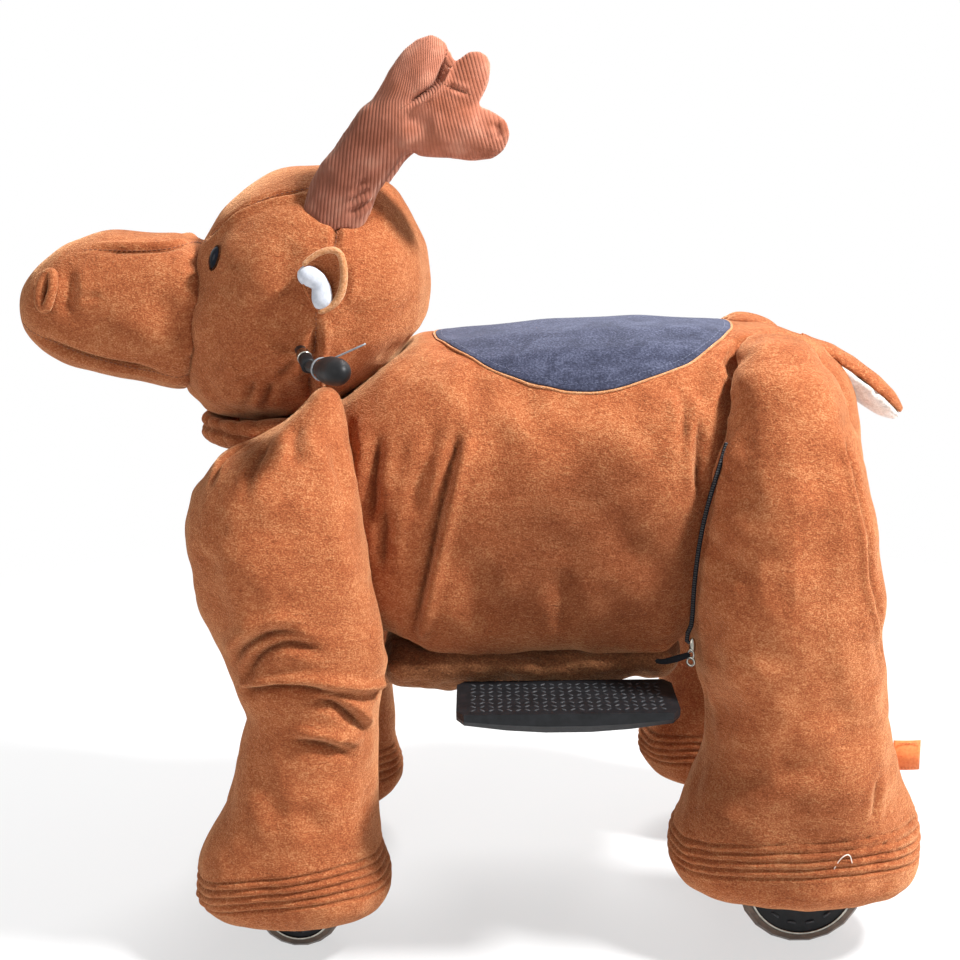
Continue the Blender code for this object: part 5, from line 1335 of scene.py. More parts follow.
def row_tree(name, shape):
    tree, given = new_tree(name, ("Spacing", "Length", "Width", "Height", "Outward"))
    out = given.outputs
    spaced = {"Curve": out["Geometry"], "Length": out["Spacing"]}
    run = add(tree, "GeometryNodeResampleCurve", {"mode": "LENGTH"}, spaced)
    way = add(tree, "GeometryNodeInputTangent")
    along = add(tree, "FunctionNodeAlignRotationToVector", {"axis": "Z"}, {"Vector": way})
    turn = {"Rotation": along, "Vector": out["Outward"]}
    facing = add(tree, "FunctionNodeAlignRotationToVector", {"axis": "Y", "pivot_axis": "Z"}, turn)
    if shape == "bead":
        one = add(tree, "GeometryNodeMeshUVSphere", {"Segments": 6, "Rings": 4, "Radius": 0.5})
    else:
        one = add(tree, "GeometryNodeMeshCube", {"Size": (1.0, 1.0, 1.0)})
    return instanced(tree, out, run, one, facing, ("Width", "Height", "Length"))


def instanced(tree, out, places, one, rotation, sizes):
    """Ends a tree: one shape on each place, with its three sizes, as real faces with a finish."""
    size = add(tree, "ShaderNodeCombineXYZ", None, {axis: out[key] for axis, key in zip("XYZ", sizes)})
    laid_out = {"Points": places, "Instance": one, "Rotation": rotation, "Scale": size}
    placed = add(tree, "GeometryNodeInstanceOnPoints", None, laid_out)
    real = add(tree, "GeometryNodeRealizeInstances", None, {"Geometry": placed})
    done = add(tree, "GeometryNodeSetMaterial", None, {"Geometry": real, "Material": out["Finish"]})
    add(tree, "NodeGroupOutput", None, {"Result": done})
    return tree


def grown(obj, tree, values, finish_used):
    """The tree's result on this object, as a plain mesh with the object's name."""
    modifier = obj.modifiers.new("grow", "NODES")
    modifier.node_group = tree
    for key, value in {**values, "Finish": finish_used}.items():
        modifier[socket_id(tree, key)] = value
    graph = bpy.context.evaluated_depsgraph_get()
    mesh = bpy.data.meshes.new_from_object(obj.evaluated_get(graph))
    name, old = obj.name, obj.data
    bpy.data.objects.remove(obj)
    if isinstance(old, bpy.types.Curve):
        bpy.data.curves.remove(old)
    mesh.polygons.foreach_set("use_smooth", [True] * len(mesh.polygons))
    return linked(name, mesh)


def line_object(name, lines, closed=False):
    curve = bpy.data.curves.new(name, "CURVE")
    curve.dimensions = "3D"
    for line in lines:
        spline = curve.splines.new("POLY")
        spline.points.add(len(line) - 1)
        for point, place in zip(spline.points, line):
            point.co = (*place, 1.0)
        spline.use_cyclic_u = closed
    return linked(name, curve)


def row(name, carrier, tree, lines, sizes, used, slot, closed=False):
    """Small shapes along lines, as one piece that rides on a body."""
    obj = grown(line_object(name, lines, closed), tree, sizes, used)
    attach(obj, carrier)
    print(f"{name}: {len(obj.data.polygons)} faces")


def row_sizes(spacing, length, width, height, outward):
    """The sizes of a row, in millimetres, and the way that its shapes face."""
    sizes = {"Spacing": spacing, "Length": length, "Width": width, "Height": height}
    return {**{key: size * MM for key, size in sizes.items()}, "Outward": tuple(outward)}


STITCH_ROW, BLOCK_ROW = row_tree("stitches along a seam", "bead"), row_tree("blocks along a line", "block")
STITCH = row_sizes(5.5, 4.2, 1.0, 0.8, (0.0, -1.0, 0.0))


def laid(tree, line, lift=0.3 * MM, step=4 * MM):
    """A line laid on a finished skin, a little above it."""
    found = []
    for point in finer(line, step):
        place, normal = tree.find_nearest(Vector(point))[:2]
        found.append(tuple(place + normal * lift))
    return found


def seam_stitches(name, key, folds, seams, slot="plush", **changed):
    """Stitches on a finished cover of the head, along named folds and their mirrored lines."""
    tree = tree_of(SKINS[key][0])
    lines = [[tuple(p) for p in traced(tree, folds[seam][0])] for seam in seams]
    lines += [[(x, -y, z) for x, y, z in line] for line in lines]
    on_skin = [laid(tree, line) for line in lines if len(line) > 1]
    row(name, "steering", STITCH_ROW, on_skin, {**STITCH, **changed}, thread_brown, slot)


BROW_AND_EAR = ("brow seam", "seam above the ear", "seam below the ear")
PRONGS = ("seam of the front prong", "seam of the middle prong")
FINE = {"Spacing": 4 * MM, "Length": 3 * MM}
seam_stitches("head_stitches", "head", HEAD_FOLDS, BROW_AND_EAR)
seam_stitches("muzzle_stitches", "muzzle", MUZZLE_FOLDS, ("bridge seam", "jaw seam"))
seam_stitches("antler_stitches", "antler_left", ANTLER_FOLDS, PRONGS, "corduroy", **FINE)

# %% [markdown]
# ## Round and lathed pieces
# Grips, ferrules, wheel rims and cable ties are round. One function turns a profile about an
# axis, and another sweeps a round section along a line. Both close their poles and ends, so
# every shell is watertight and its faces point outwards.

# %% Turned and swept pieces


def mesh_piece(name, carrier, shell, used, slot, fill=None, stands_for=None):
    """A piece from the points and faces of its shell, with its finish and body; its slot is not used."""
    points, faces = shell
    mesh = bpy.data.meshes.new(name)
    mesh.from_pydata([tuple(p) for p in points], [], faces)
    bm = bmesh.new()
    bm.from_mesh(mesh)
    bmesh.ops.remove_doubles(bm, verts=bm.verts, dist=1e-6)
    bmesh.ops.recalc_face_normals(bm, faces=bm.faces)
    bm.to_mesh(mesh)
    bm.free()
    mesh.polygons.foreach_set("use_smooth", [True] * len(mesh.polygons))
    mesh.materials.append(used)
    obj = linked(name, mesh)
    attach(obj, carrier)
    if stands_for:
        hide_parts(stands_for)
    return obj


def in_mm(stops):
    return [(along * MM, radius * MM) for along, radius in stops]


def oval(middle, across, up, count):
    """Points round an oval with these two half axes."""
    return [middle + across * math.cos(t) + up * math.sin(t) for t in around(count)]


def square_axes(way):
    """Two directions square to way and to each other."""
    side = Vector((0, 0, 1)).cross(way)
    if side.length < 0.1:
        side = Vector((1, 0, 0)).cross(way)
    side.normalize()
    return side, way.cross(side)


def ring_shell(rings, closed=False):
    """Points and faces of a skin over equal rings, capped at its ends unless it is closed."""
    count, n = len(rings[0]), len(rings)
    points = [p for ring in rings for p in ring]
    faces = []
    for i in range(n if closed else n - 1):
        for j in range(count):
            a, b = i * count + j, i * count + (j + 1) % count
            c, d = (i + 1) % n * count + (j + 1) % count, (i + 1) % n * count + j
            faces.append((a, b, c, d))
    if not closed:
        faces.append(tuple(reversed(range(count))))
        faces.append(tuple((n - 1) * count + j for j in range(count)))
    return points, faces


def turned(name, carrier, start, way, profile, used, slot, sides=32, stands_for=None):
    """A profile of (distance along way, radius), turned about the axis from start."""
    way = Vector(way).normalized()
    side, up = square_axes(way)
    rings = [oval(Vector(start) + way * along, side * r, up * r, sides) for along, r in profile]
    return mesh_piece(name, carrier, ring_shell(rings), used, slot, None, stands_for)


def swept(line, radii, sides=12, flat=1.0, flat_way=(0, 1, 0), closed=False):
    """Rings along a line with a radius at each point. flat thins them along flat_way."""
    line = [Vector(p) for p in line]
    rings, count = [], len(line)
    for n, place in enumerate(line):
        before = line[n - 1] if n or closed else line[0]
        after = line[(n + 1) % count] if n < count - 1 or closed else line[-1]
        way = (after - before).normalized()
        across = Vector(flat_way) - way * way.dot(Vector(flat_way))
        across.normalize()
        up = way.cross(across)
        rings.append(oval(place, across * flat * radii[n], up * radii[n], sides))
    return ring_shell(rings, closed)


def hoop(line, thickness, flat_way, sides=8, flat=1.0):
    """A closed ring of one thickness along a line."""
    return swept(line, [thickness] * len(line), sides, flat, tuple(flat_way), closed=True)


def bulge_profile(stops, steps=6):
    """A smooth profile through a few (distance, radius) stops."""
    stops = np.array(stops)
    places = np.linspace(0, len(stops) - 1, (len(stops) - 1) * steps + 1)
    fine = []
    for t in places:
        n = min(int(t), len(stops) - 2)
        start, end = stops[n], stops[n + 1]
        before, after = stops[max(n - 1, 0)], stops[min(n + 2, len(stops) - 1)]
        k = t - n
        value = 0.5 * (2 * start + (end - before) * k + (2 * before - 5 * start + 4 * end - after) * k**2)
        value += 0.5 * (3 * start - before - 3 * end + after) * k**3
        fine.append((value[0], max(value[1], 0.2 * MM)))
    return fine


print("turned and swept pieces ready")

# %% [markdown]
# ## Sleeve in the neck
# Under the head, a plush sleeve stands round the steering column, inside the collar, so that no
# steel shows when the head turns. Its top stays just below the lowest that the head comes.

# %% Sleeve in the neck
SLEEVE_RADII, SLEEVE_SIDES = (40 * MM, 46 * MM, 54 * MM, 62 * MM, 68 * MM), 48
SLEEVE_FOOT, SLEEVE_TOP, SLEEVE_GAP = 0.570, 0.628, 2.5 * MM
head_tree = tree_of(SKINS["head"][0])


def under_head(angle, radius):
    """The height that stays clear of the head over one place, whichever way it is turned."""
    height = SLEEVE_TOP
    for degrees in range(-25, 26, 5):
        turn = angle + math.radians(degrees)
        start = NECK_MIDDLE + Vector((math.cos(turn), math.sin(turn), 0)) * radius
        place = head_tree.ray_cast(start, Vector((0, 0, 1)), 0.3)[0]
        if place is not None:
            height = min(height, place.z - SLEEVE_GAP)
    return max(height, SLEEVE_FOOT + 2 * MM)


tops = np.array([[under_head(angle, radius) for radius in SLEEVE_RADII] for angle in around(SLEEVE_SIDES)])
tops = np.minimum(tops, (np.roll(tops, 1, 0) + tops + np.roll(tops, -1, 0)) / 3)
slices = []
for angle, heights in zip(around(SLEEVE_SIDES), tops):
    way = Vector((math.cos(angle), math.sin(angle), 0))
    inner, outer = (SLEEVE_RADII[0], SLEEVE_FOOT), (SLEEVE_RADII[-1], SLEEVE_FOOT)
    outline = [inner, *zip(SLEEVE_RADII, heights), outer]
    slices.append([Vector((NECK_MIDDLE.x, 0, height)) + way * radius for radius, height in outline])
mesh_piece("neck_sleeve", "chassis", ring_shell(slices, True), plush_brown, "plush", 0.6)
print("sleeve top between", tops.min().round(3), "and", tops.max().round(3))

# %% [markdown]
# ## Seat
# The seat is a padded oval of velvet laid over the back. Its upper side follows the body's skin
# and swells a little in the middle. It is made as rings of points, each dropped onto the skin
# from above, because a cloth run would only repeat the body's own shape. Its edge is turned
# under and top-stitched.

# %% Seat
seat_low, seat_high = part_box("seat_cover")
SEAT_MIDDLE = ((seat_low.x + seat_high.x) / 2, (seat_low.y + seat_high.y) / 2)
SEAT_HALF = ((seat_high.x - seat_low.x) / 2, (seat_high.y - seat_low.y) / 2)
SEAT_RISE, SEAT_EDGE, SEAT_SUNK, SEAT_RINGS, SEAT_SPOKES = 3.5 * MM, 2.6 * MM, -3 * MM, 30, 128
body_tree = tree_of(body)


def on_back(x, y):
    place = body_tree.ray_cast(Vector((x, y, 1.2)), Vector((0, 0, -1)))[0]
    return place.z if place is not None else seat_low.z


def seat_ring(share, lift):
    """Points round the seat at a share of its size, lifted off the body's skin."""
    ring = []
    for angle in around(SEAT_SPOKES):
        x = SEAT_MIDDLE[0] + SEAT_HALF[0] * share * math.cos(angle)
        y = SEAT_MIDDLE[1] + SEAT_HALF[1] * share * math.sin(angle)
        ripple = 0.5 * MM * math.sin(9 * angle) * share**3
        ripple += 0.7 * MM * math.sin(60 * x + 2) * math.sin(55 * y)
        ring.append((x, y, on_back(x, y) + lift + ripple * (lift > 0)))
    return ring


rings = [seat_ring(share, SEAT_SUNK) for share in (0.01, *np.linspace(0.2, 0.985, 8))]
rings += [seat_ring(1.0, 0.2 * MM), seat_ring(1.004, SEAT_EDGE * 0.6)]
for share in np.linspace(0.995, 0.01, SEAT_RINGS):
    rings.append(seat_ring(share, SEAT_EDGE + SEAT_RISE * (1 - share**2)))
seat = mesh_piece("seat_velvet", "chassis", ring_shell(rings), velvet, "velvet", 0.7, "seat_cover")
piping = hoop(seat_ring(1.012, 0.8 * MM), 1.5 * MM, (0, 0, 1), 10)
# The piping is in the paler plush: painted highlight along the seat's edge.
mesh_piece("seat_piping", "chassis", piping, plush_pale, "plush", 0.8)
edge_line = seat_ring(0.965, SEAT_EDGE + SEAT_RISE * 0.07)[::2]
seat_thread = {**STITCH, "Outward": (0.0, 0.0, 1.0)}
row("seat_stitches", "chassis", STITCH_ROW, [edge_line], seat_thread, thread_slate, "velvet", True)
print("seat:", len(seat.data.polygons), "faces")

# %% [markdown]
# ## Ears, eyes and nostrils
# An ear is a padded cup of plush with a white kidney-shaped lining sewn in. The eye is a glossy cabochon
# set in a dent. The nostril is a stuffed roll round a dark slit. Each is made once, on the camera's side,
# and mirrored. The names of these pieces are crossed: one named left lies on the animal's right, and the
# other way round. The cup of an ear is a row of rings, each with its share of the outline and how far it is
# sunk into the ear, in millimetres.

# %% Face
EAR_OUTLINE = (
    (303, 268), (307, 260), (316, 253), (328, 248), (337, 248), (343, 256), (345, 270),
    (344, 285), (340, 298), (332, 308), (323, 313), (314, 308), (306, 296), (301, 281),
)
EAR_RIM = (
    (304, 264), (316, 254), (330, 249), (340, 252), (344, 266),
    (344, 284), (339, 299), (329, 309), (320, 312),
)
RIM_RADII = (2.6, 3.4, 4.2, 4.4, 2.6)
EAR_LINING = ((306, 275), (314, 278), (320, 284), (322, 292), (322, 301))
LINING_RADII = (9.6, 10.4, 9.0, 10.6, 10.6)
EAR_FACE = -0.152
RIM_FACE, LINING_FACE = EAR_FACE - 0.5 * MM, EAR_FACE + 2.5 * MM
CUP = (
    (0.02, 9.0), (0.3, 8.4), (0.55, 6.0), (0.75, 2.5), (0.88, 0.2), (0.95, -1.0), (1.0, 0.4),
    (1.02, 3.0), (0.98, 7.0), (0.88, 13.0), (0.7, 18.0), (0.4, 24.0), (0.02, 26.0),
)
EYE_AT, EYE_HALF, EYE_LEAN = (215, 258), (8.6 * MM, 13.2 * MM, 6.5 * MM), math.radians(20)
NOSTRIL_AT, NOSTRIL_HALF, NOSTRIL_LEAN = (49, 291), (8 * MM, 19 * MM), math.radians(4)
ROLL_RADIUS, ROLL_SWELL, ROLL_LIFT = 6.4, 1.2 * 0.8, 4.6 * MM
PIXEL = 1.08 * MM


def egg(middle, axes, rings=16, sides=32):
    """An ellipsoid on three half axes, as rings about the third one."""
    made = []
    for n in range(rings + 1):
        polar = math.pi * (n + 0.02) / (rings + 0.04)
        wide = math.sin(polar)
        made.append(oval(Vector(middle) + axes[2] * math.cos(polar), axes[0] * wide, axes[1] * wide, sides))
    return ring_shell(made)


def sausage(line, radii, flat=1.0, step=2 * MM, sides=16):
    """A swept line whose ends are round. The line is lengthened by its end radii."""
    line = [Vector(p) for p in line]
    line[0] += (line[0] - line[1]).normalized() * radii[0] * 0.9
    line[-1] += (line[-1] - line[-2]).normalized() * radii[-1] * 0.9
    fine = finer([tuple(p) for p in line], step)
    length = np.linspace(0, np.linalg.norm(np.diff(fine, axis=0), axis=1).sum(), len(fine))
    wide = np.interp(length / length[-1], np.linspace(0, 1, len(radii)), radii)
    for end, way in ((0, length), (-1, length[-1] - length)):
        t = np.clip(1 - way / radii[end], 0, 1)
        wide = wide * np.sqrt(np.clip(1 - t**2, 0.004, 1))
    return swept([tuple(p) for p in fine], wide, sides, flat)


def box_middle(node):
    low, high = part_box(node)
    return (low + high) / 2, (high - low) / 2


def mirrored(shell, way):
    points, faces = shell
    return [(p[0], -p[1] * way, p[2]) for p in points], faces


def on_skin(key, pixel, lean):
    """The place on a cover under a pixel, its normal, and the directions across and up there."""
    place, normal = tree_of(SKINS[key][0]).ray_cast(EYE_POINT, sight(*pixel))[:2]
    up = Vector((math.sin(lean), 0, math.cos(lean)))
    up = (up - normal * up.dot(normal)).normalized()
    return place, normal, normal.cross(up), up


outline = finer([tuple(on_plane(u, v, EAR_FACE)) for u, v in (*EAR_OUTLINE, EAR_OUTLINE[0])], 3 * MM)[:-1]
ear_middle = outline.mean(0)
rings = []
for share, sunk in CUP:
    ring = ear_middle + (outline - ear_middle) * share
    ring[:, 1] = EAR_FACE + sunk * MM
    rings.append([tuple(p) for p in ring])
ear = ring_shell(rings)
rim = sausage([on_plane(u, v, RIM_FACE) for u, v in EAR_RIM], [r * MM for r in RIM_RADII])
lining_line = [on_plane(u, v, LINING_FACE) for u, v in EAR_LINING]
lining = sausage(lining_line, [r * PIXEL for r in LINING_RADII], 0.62, 1.5 * MM, 20)

place, normal, across, up = on_skin("head", EYE_AT, EYE_LEAN)
eye_axes = (across * EYE_HALF[0], up * EYE_HALF[1], normal * EYE_HALF[2])
eye = egg(place - normal * 0.5 * MM, eye_axes)
# Painted shade: the dent round the eye is a ring of near-black plush.
socket_line = oval(place + normal * 0.4 * MM, eye_axes[0] * 1.04, eye_axes[1] * 1.04, 28)
socket = hoop(socket_line, 1.1 * MM, normal)

muzzle_tree = tree_of(SKINS["muzzle"][0])
place, normal, across, up = on_skin("muzzle", NOSTRIL_AT, NOSTRIL_LEAN)
loop = []
for at in oval(place, across * NOSTRIL_HALF[0], up * NOSTRIL_HALF[1], 40):
    near, facing = muzzle_tree.find_nearest(at)[:2]
    loop.append(near + facing * ROLL_LIFT)
thickness = [(ROLL_RADIUS + ROLL_SWELL * math.cos(angle)) * MM for angle in around(40)]
roll = swept(loop, thickness, 14, 0.95, tuple(normal), closed=True)
# Painted shade: the slit is a near-black egg sunk in the nostril's roll.
slit = egg(place - across * 0.5 * MM, (across * 5 * MM, up * 15 * MM, normal * 3 * MM), 10, 20)
FACE = (
    # name, shell, finish, slot, fill, and the CAD node that it stands for
    ("ear_cup", ear, plush_brown, "plush", 0.8, "ear"),
    # the ear's rim is in the paler plush: painted highlight where it catches the light
    ("ear_rim", rim, plush_pale, "plush", 0.8, None),
    ("ear_lining", lining, satin, "white_plush", 0.9, None),
    ("eye_gloss", eye, FINISHES["eye"], "eye", None, "eye"),
    ("eye_socket", socket, plush_dark, "plush", 0.5, None),
    ("nostril_roll", roll, plush_brown, "plush", 0.9, "nostril"),
    ("nostril_slit", slit, plush_dark, "plush", 0.5, None),
)
for side, way in SIDES.items():
    for name, shell, *look, node in FACE:
        stands_for = f"{node}_{side}" if node else None
        mesh_piece(f"{name}_{side}", "steering", mirrored(shell, -way), *look, stands_for)
print("face made")

# %% [markdown]
# ## Grips and cable ties
# The bar ends in a bulb of soft rubber with a thinner boot, and a plated ferrule holds the
# boot. A nylon cable tie is pulled round the boot, and its tail was never cut off. All are
# turned or swept about the bar's own axis, read from the CAD grip's box. Profiles are in
# millimetres: the distance along the axis, and the radius there.

# %% Grips
BULB_STOPS = ((0, 7.0), (8, 7.4), (16, 8.0), (23, 10.2), (33, 13.4), (46, 14.8), (62, 14.4))
BOOT = ((0, 6.6), (0.5, 7.8), (10, 7.9), (20, 8.4), (21, 7.5))
FERRULE = ((0, 6.4), (0.4, 7.4), (1.5, 7.6), (9, 7.6), (10.4, 8.2), (12.5, 8.2), (13, 7.0))
TIE_BLOCK = ((-3.0, 2.0), (-2.6, 2.8), (2.6, 2.8), (3.0, 2.0))
BULB_END, TIE_RADIUS, TIE_ALONG, TIE_THICK = 87.0, 11.8 * MM, 17 * MM, 1.0 * MM
BAR_BEND, BAR_END = Vector((-0.182, 0.120, 0.692)), Vector((-0.168, 0.163, 0.679))


def bulb_profile():
    """The stops of the bulb, closed by a quarter of an ellipse."""
    profile = bulge_profile(in_mm(BULB_STOPS))
    start, radius = BULB_STOPS[-1]
    for n in range(1, 10):
        angle = math.pi / 2 * n / 9
        along = start + (BULB_END - start) * math.sin(angle)
        profile.append((along * MM, max(radius * math.cos(angle), 0.2) * MM))
    return profile


for side, way in SIDES.items():
    low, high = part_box(f"grip_{side}")
    inside, outside = sorted((abs(low.y), abs(high.y)))
    root = Vector((low.x + 0.0116, way * (inside + 0.004), low.z + 0.0126))
    tip = Vector((high.x - 0.0060, way * (outside - 0.0020), high.z - 0.0123))
    run = (tip - root).normalized()
    bend, end = (Vector((p.x, p.y * way, p.z)) for p in (BAR_BEND, BAR_END))
    down = (end - bend).normalized()
    side_way, up_way = square_axes(run)
    tie_at = root + run * TIE_ALONG
    up_sign = 0.69 if up_way.z > 0 else -0.69
    knot = tie_at + (side_way * -way * 0.72 + up_way * up_sign) * (TIE_RADIUS + 2.0 * MM)
    tail_way = Vector((0.91, way * 0.04, 0.40)).normalized()
    rubber = (FINISHES["rubber"], "rubber")
    turned(f"grip_bulb_{side}", "steering", root, run, bulb_profile(), *rubber, 40, f"grip_{side}")
    turned(f"grip_boot_{side}", "steering", end - down * 14 * MM, down, in_mm(BOOT), *rubber, 28)
    ferrule_at = end - down * 27 * MM
    metal = (nickel, "bright_steel")
    turned(f"grip_ferrule_{side}", "steering", ferrule_at, down, in_mm(FERRULE), *metal, 28)
    band = hoop(oval(tie_at, side_way * TIE_RADIUS, up_way * TIE_RADIUS, 36), TIE_THICK, run, 8, 2.0)
    mesh_piece(f"tie_band_{side}", "steering", band, nylon, "plastic")
    rise = Vector((0, 0, 0.00006 * MM))
    tail = [knot + tail_way * d * MM + rise * d * d for d in (-3, 0, 8, 16, 24, 32, 40)]
    mesh_piece(f"tie_tail_{side}", "steering", swept(tail, [TIE_THICK] * 7, 8, 0.7), nylon, "plastic")
    turned(f"tie_head_{side}", "steering", knot, tail_way, in_mm(TIE_BLOCK), nylon, "plastic", 4)
print("grips made")

# %% [markdown]
# ## Zips and the label
# A zip closes each hind leg's seam against the body. It is a woven tape with two rows of metal
# teeth and a slider that hangs at its lower end. The tape is a strip along the middle of the CAD
# zip, and the teeth are a row of blocks along it. The names of the tape's loose end and of its
# metal stops are crossed, as those of the face are. The label is a folded ribbon caught in the
# back seam.

# %% Zips and label
ZIP_STEP, ZIP_HALF, TEETH_APART = 12 * MM, 2.8 * MM, 0.8 * MM
SLIDER = ((-2.0, 2.4), (0.0, 3.6), (7.0, 3.8), (12.0, 2.6), (14.0, 1.0))
TAPE_END = ((688, 655), (676, 659), (664, 662), (657, 661))
TAPE_END_RADII, TAPE_END_FACE = (3.2, 4.0, 3.6, 2.6), -0.187
UP = Vector((0, 0, 1))


def zip_line(node, way):
    """The middle of the zip's outer face, from its lower end up, sunk a little into the seam."""
    points = np.array([v.co[:] for v in NODES[node].data.vertices])
    low, high = points[:, 2].min(), points[:, 2].max()
    line = []
    for z in np.unique(np.round(points[:, 2], 4)):
        level = points[np.abs(points[:, 2] - z) < 0.5 * MM]
        hollow = math.sin(math.pi * (z - low) / (high - low))
        line.append((level[:, 0].mean() - 5 * MM * hollow, level[:, 1].mean() - way * 2 * MM, z))
    return [tuple(p) for p in finer(line, ZIP_STEP)]


metal = (nickel, "bright_steel")
for side, way in SIDES.items():
    line = zip_line(f"zip_{side}", way)
    outward = Vector((-0.55, way * 0.83, 0)).normalized()
    beside = outward.cross(UP)
    tape = swept(line, [ZIP_HALF] * len(line), 10, 0.3, tuple(outward))
    mesh_piece(f"zip_tape_{side}", "hind_frame", tape, zip_tape, "zip", None, f"zip_{side}")
    teeth = []
    for shift in (-TEETH_APART, TEETH_APART):
        teeth.append([tuple(Vector(p) + outward * 1.0 * MM + beside * shift) for p in line])
    sizes = row_sizes(2.6, 1.4, 1.4, 1.4, outward)
    row(f"zip_teeth_{side}", "hind_frame", BLOCK_ROW, teeth, sizes, gunmetal, "bright_steel")
    foot = Vector(line[0]) + outward * 3.0 * MM - UP * 4 * MM
    turned(f"zip_slider_{side}", "hind_frame", foot, UP, in_mm(SLIDER), *metal, 12)
    hang = foot + outward * 3.0 * MM - UP * 4 * MM
    upper = oval(hang, beside * 3.4 * MM, UP * 5.0 * MM, 24)
    mesh_piece(f"zip_ring_{side}", "hind_frame", hoop(upper, 1.3 * MM, outward), *metal)
    lower = oval(hang - UP * 8.5 * MM, beside * 4.4 * MM, UP * 4.4 * MM, 24)
    mesh_piece(f"zip_pull_{side}", "hind_frame", hoop(lower, 1.5 * MM, outward), *metal)
    end = [on_plane(u, v, TAPE_END_FACE) for u, v in TAPE_END]
    end = [Vector((p.x, -p.y * -way, p.z)) for p in end]
    loose = sausage(end, [r * MM for r in TAPE_END_RADII], 0.4)
    mesh_piece(f"zip_end_{side}", "hind_frame", loose, zip_tape, "zip")
    stops = [[tuple(p + Vector((0, way * 1.6 * MM, 0))) for p in end[1:]]]
    sizes = row_sizes(7, 2.0, 4.2, 1.6, (0.0, float(way), 0.0))
    row(f"zip_stops_{side}", "hind_frame", BLOCK_ROW, stops, sizes, *metal)

LABEL_SLICES, LABEL_INSIDE, LABEL_CURL = 14, 4 * MM, 1.2 * MM
low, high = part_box("label_tab")
label_y = (low.y + high.y) / 2
ribbon = []
for n, x in enumerate(np.linspace(low.x - LABEL_INSIDE, high.x, LABEL_SLICES)):
    y = label_y - LABEL_CURL * math.sin(n / (LABEL_SLICES - 1) * math.pi)
    half = 1.1 * MM if n < LABEL_SLICES - 1 else 0.5 * MM
    corners = ((y - half, low.z), (y + half, low.z), (y + half, high.z), (y - half, high.z))
    ribbon.append([(x, *corner) for corner in corners])
mesh_piece("label_ribbon", "hind_frame", ring_shell(ribbon), label_ribbon, "label", None, "label_tab")
edges = []
for z in (low.z + 2.5 * MM, high.z - 2.5 * MM):
    edges.append([(x, label_y - 2.6 * MM, z) for x in np.linspace(low.x + 2 * MM, high.x - 2 * MM, 5)])
sizes = row_sizes(3.5, 2.4, 0.6, 0.8, STITCH["Outward"])
row("label_stitches", "hind_frame", STITCH_ROW, edges, sizes, thread_brown, "label")
print("zips and label made")

# %% [markdown]
# ## Wheels
# Each wheel shows a plated rim ring between tyre and hub, and a ring of moulded dashes, on both
# of its faces. The dashes are a row of blocks on a circle.

# %% Wheels
RIM_THICK, DASHES = 1.5 * MM, 14

for which, rim_share, dash_share in (("front", 0.78, 0.60), ("rear", 0.84, 0.66)):
    for side, way in SIDES.items():
        middle, half = box_middle(f"{which}_tyre_{side}")
        carrier = f"{which}_wheel_{side}"
        across, up = Vector((half.x, 0, 0)), Vector((0, 0, half.x))
        dashes = []
        for out in (-1, 1):
            at = Vector((middle.x, middle.y + out * half.y, middle.z))
            rim = hoop(oval(at, across * rim_share, up * rim_share, 96), RIM_THICK, (0, 1, 0))
            name = f"{which}_rim_{'outer' if out == way else 'inner'}_{side}"
            mesh_piece(name, carrier, rim, *metal)
            dashes.append(oval(at, across * dash_share, up * dash_share, 64))
        spacing = 2 * math.pi * half.x * dash_share / DASHES
        sizes = {**row_sizes(0, 9, 2.4, 1.6, (0.0, 1.0, 0.0)), "Spacing": spacing}
        name = f"{which}_dashes_{side}"
        row(name, carrier, BLOCK_ROW, dashes, sizes, plastic_grey, "plastic", True)
print("wheels dressed")

# %% [markdown]
# ## Footrest treads
# The footrests have a tread of small lozenges, set at right angles to their neighbours, so that
# a foot doesn't slip either way. The tread is a grid of points with one lozenge on each.

# %% Footrest treads
LOZENGE = {"Pitch": 9 * MM, "Length": 8.5 * MM, "Width": 3.4 * MM, "Height": 1.2 * MM}
TREAD_MARGIN = (36 * MM, 26 * MM)


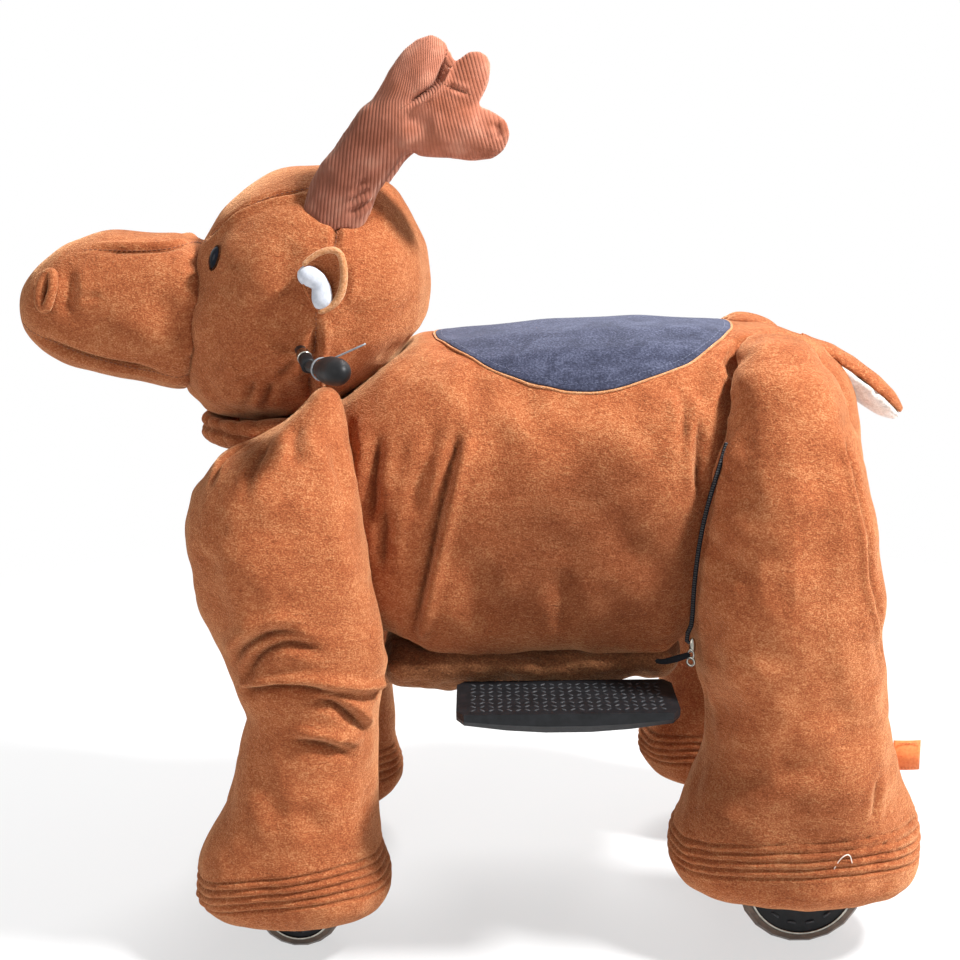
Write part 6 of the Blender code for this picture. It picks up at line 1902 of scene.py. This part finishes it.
def tread_tree():
    tree, given = new_tree("lozenge tread", ("Span X", "Span Y", "Pitch", "Length", "Width", "Height"))
    out = given.outputs

    def steps(source):
        return calculated(tree, "FLOOR", calculated(tree, "DIVIDE", source, out["Pitch"]))

    extent = {"Size X": out["Span X"], "Size Y": out["Span Y"]}
    counts = {"Vertices X": steps(out["Span X"]), "Vertices Y": steps(out["Span Y"])}
    grid = add(tree, "GeometryNodeMeshGrid", None, {**extent, **counts})
    place = add(tree, "GeometryNodeInputPosition")
    parts = add(tree, "ShaderNodeSeparateXYZ", None, {"Vector": place}).outputs
    both = calculated(tree, "ADD", steps(parts["X"]), steps(parts["Y"]))
    odd = calculated(tree, "FLOORED_MODULO", both, 2.0)
    turn = calculated(tree, "MULTIPLY_ADD", odd, math.pi / 2, -math.pi / 4)
    rotation = add(tree, "ShaderNodeCombineXYZ", None, {"Z": turn})
    one = add(tree, "GeometryNodeMeshUVSphere", {"Segments": 8, "Rings": 4, "Radius": 0.5})
    return instanced(tree, out, grid.outputs["Mesh"], one, rotation, ("Length", "Width", "Height"))


TREAD = tread_tree()
for side in SIDES:
    low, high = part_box(f"footrest_{side}")
    empty = linked(f"footrest_tread_{side}", bpy.data.meshes.new("tread"))
    spans = {"Span X": high.x - low.x - TREAD_MARGIN[0], "Span Y": high.y - low.y - TREAD_MARGIN[1]}
    tread = grown(empty, TREAD, {**spans, **LOZENGE}, plastic_grey)
    top = np.array(((low.x + high.x) / 2, (low.y + high.y) / 2, high.z))
    place_points(tread, points_of(tread) + top)
    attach(tread, "hind_frame")
print("treads:", len(tread.data.polygons), "faces each")

# %% [markdown]
# ## Last touches
# A pale thread has come loose from a pleat of the near hind hoof, and stands off it in the middle. The size
# of the dressed object is printed.

# %% Last touches
LOOSE_THREAD = ((834, 869), (838, 861), (842, 856), (847, 853), (850, 855), (852, 863))
THREAD_LIFT, THREAD_RADIUS = (0.2, 1.5, 2.5, 2.8, 2.0, 0.3), 0.55 * MM
traced_thread = traced(tree_of(SKINS["hind_leg_left"][0]), LOOSE_THREAD)
on_hoof = [p + np.array((0, -h * MM, 0)) for p, h in zip(traced_thread, THREAD_LIFT)]
fine = finer(on_hoof, 2 * MM)
loose = swept(fine, [THREAD_RADIUS] * len(fine), 6)
mesh_piece("loose_thread", "hind_frame", loose, thread_pale, "white_plush")
low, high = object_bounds()
print("visual box:", [round(x, 3) for corner in (low, high) for x in corner])
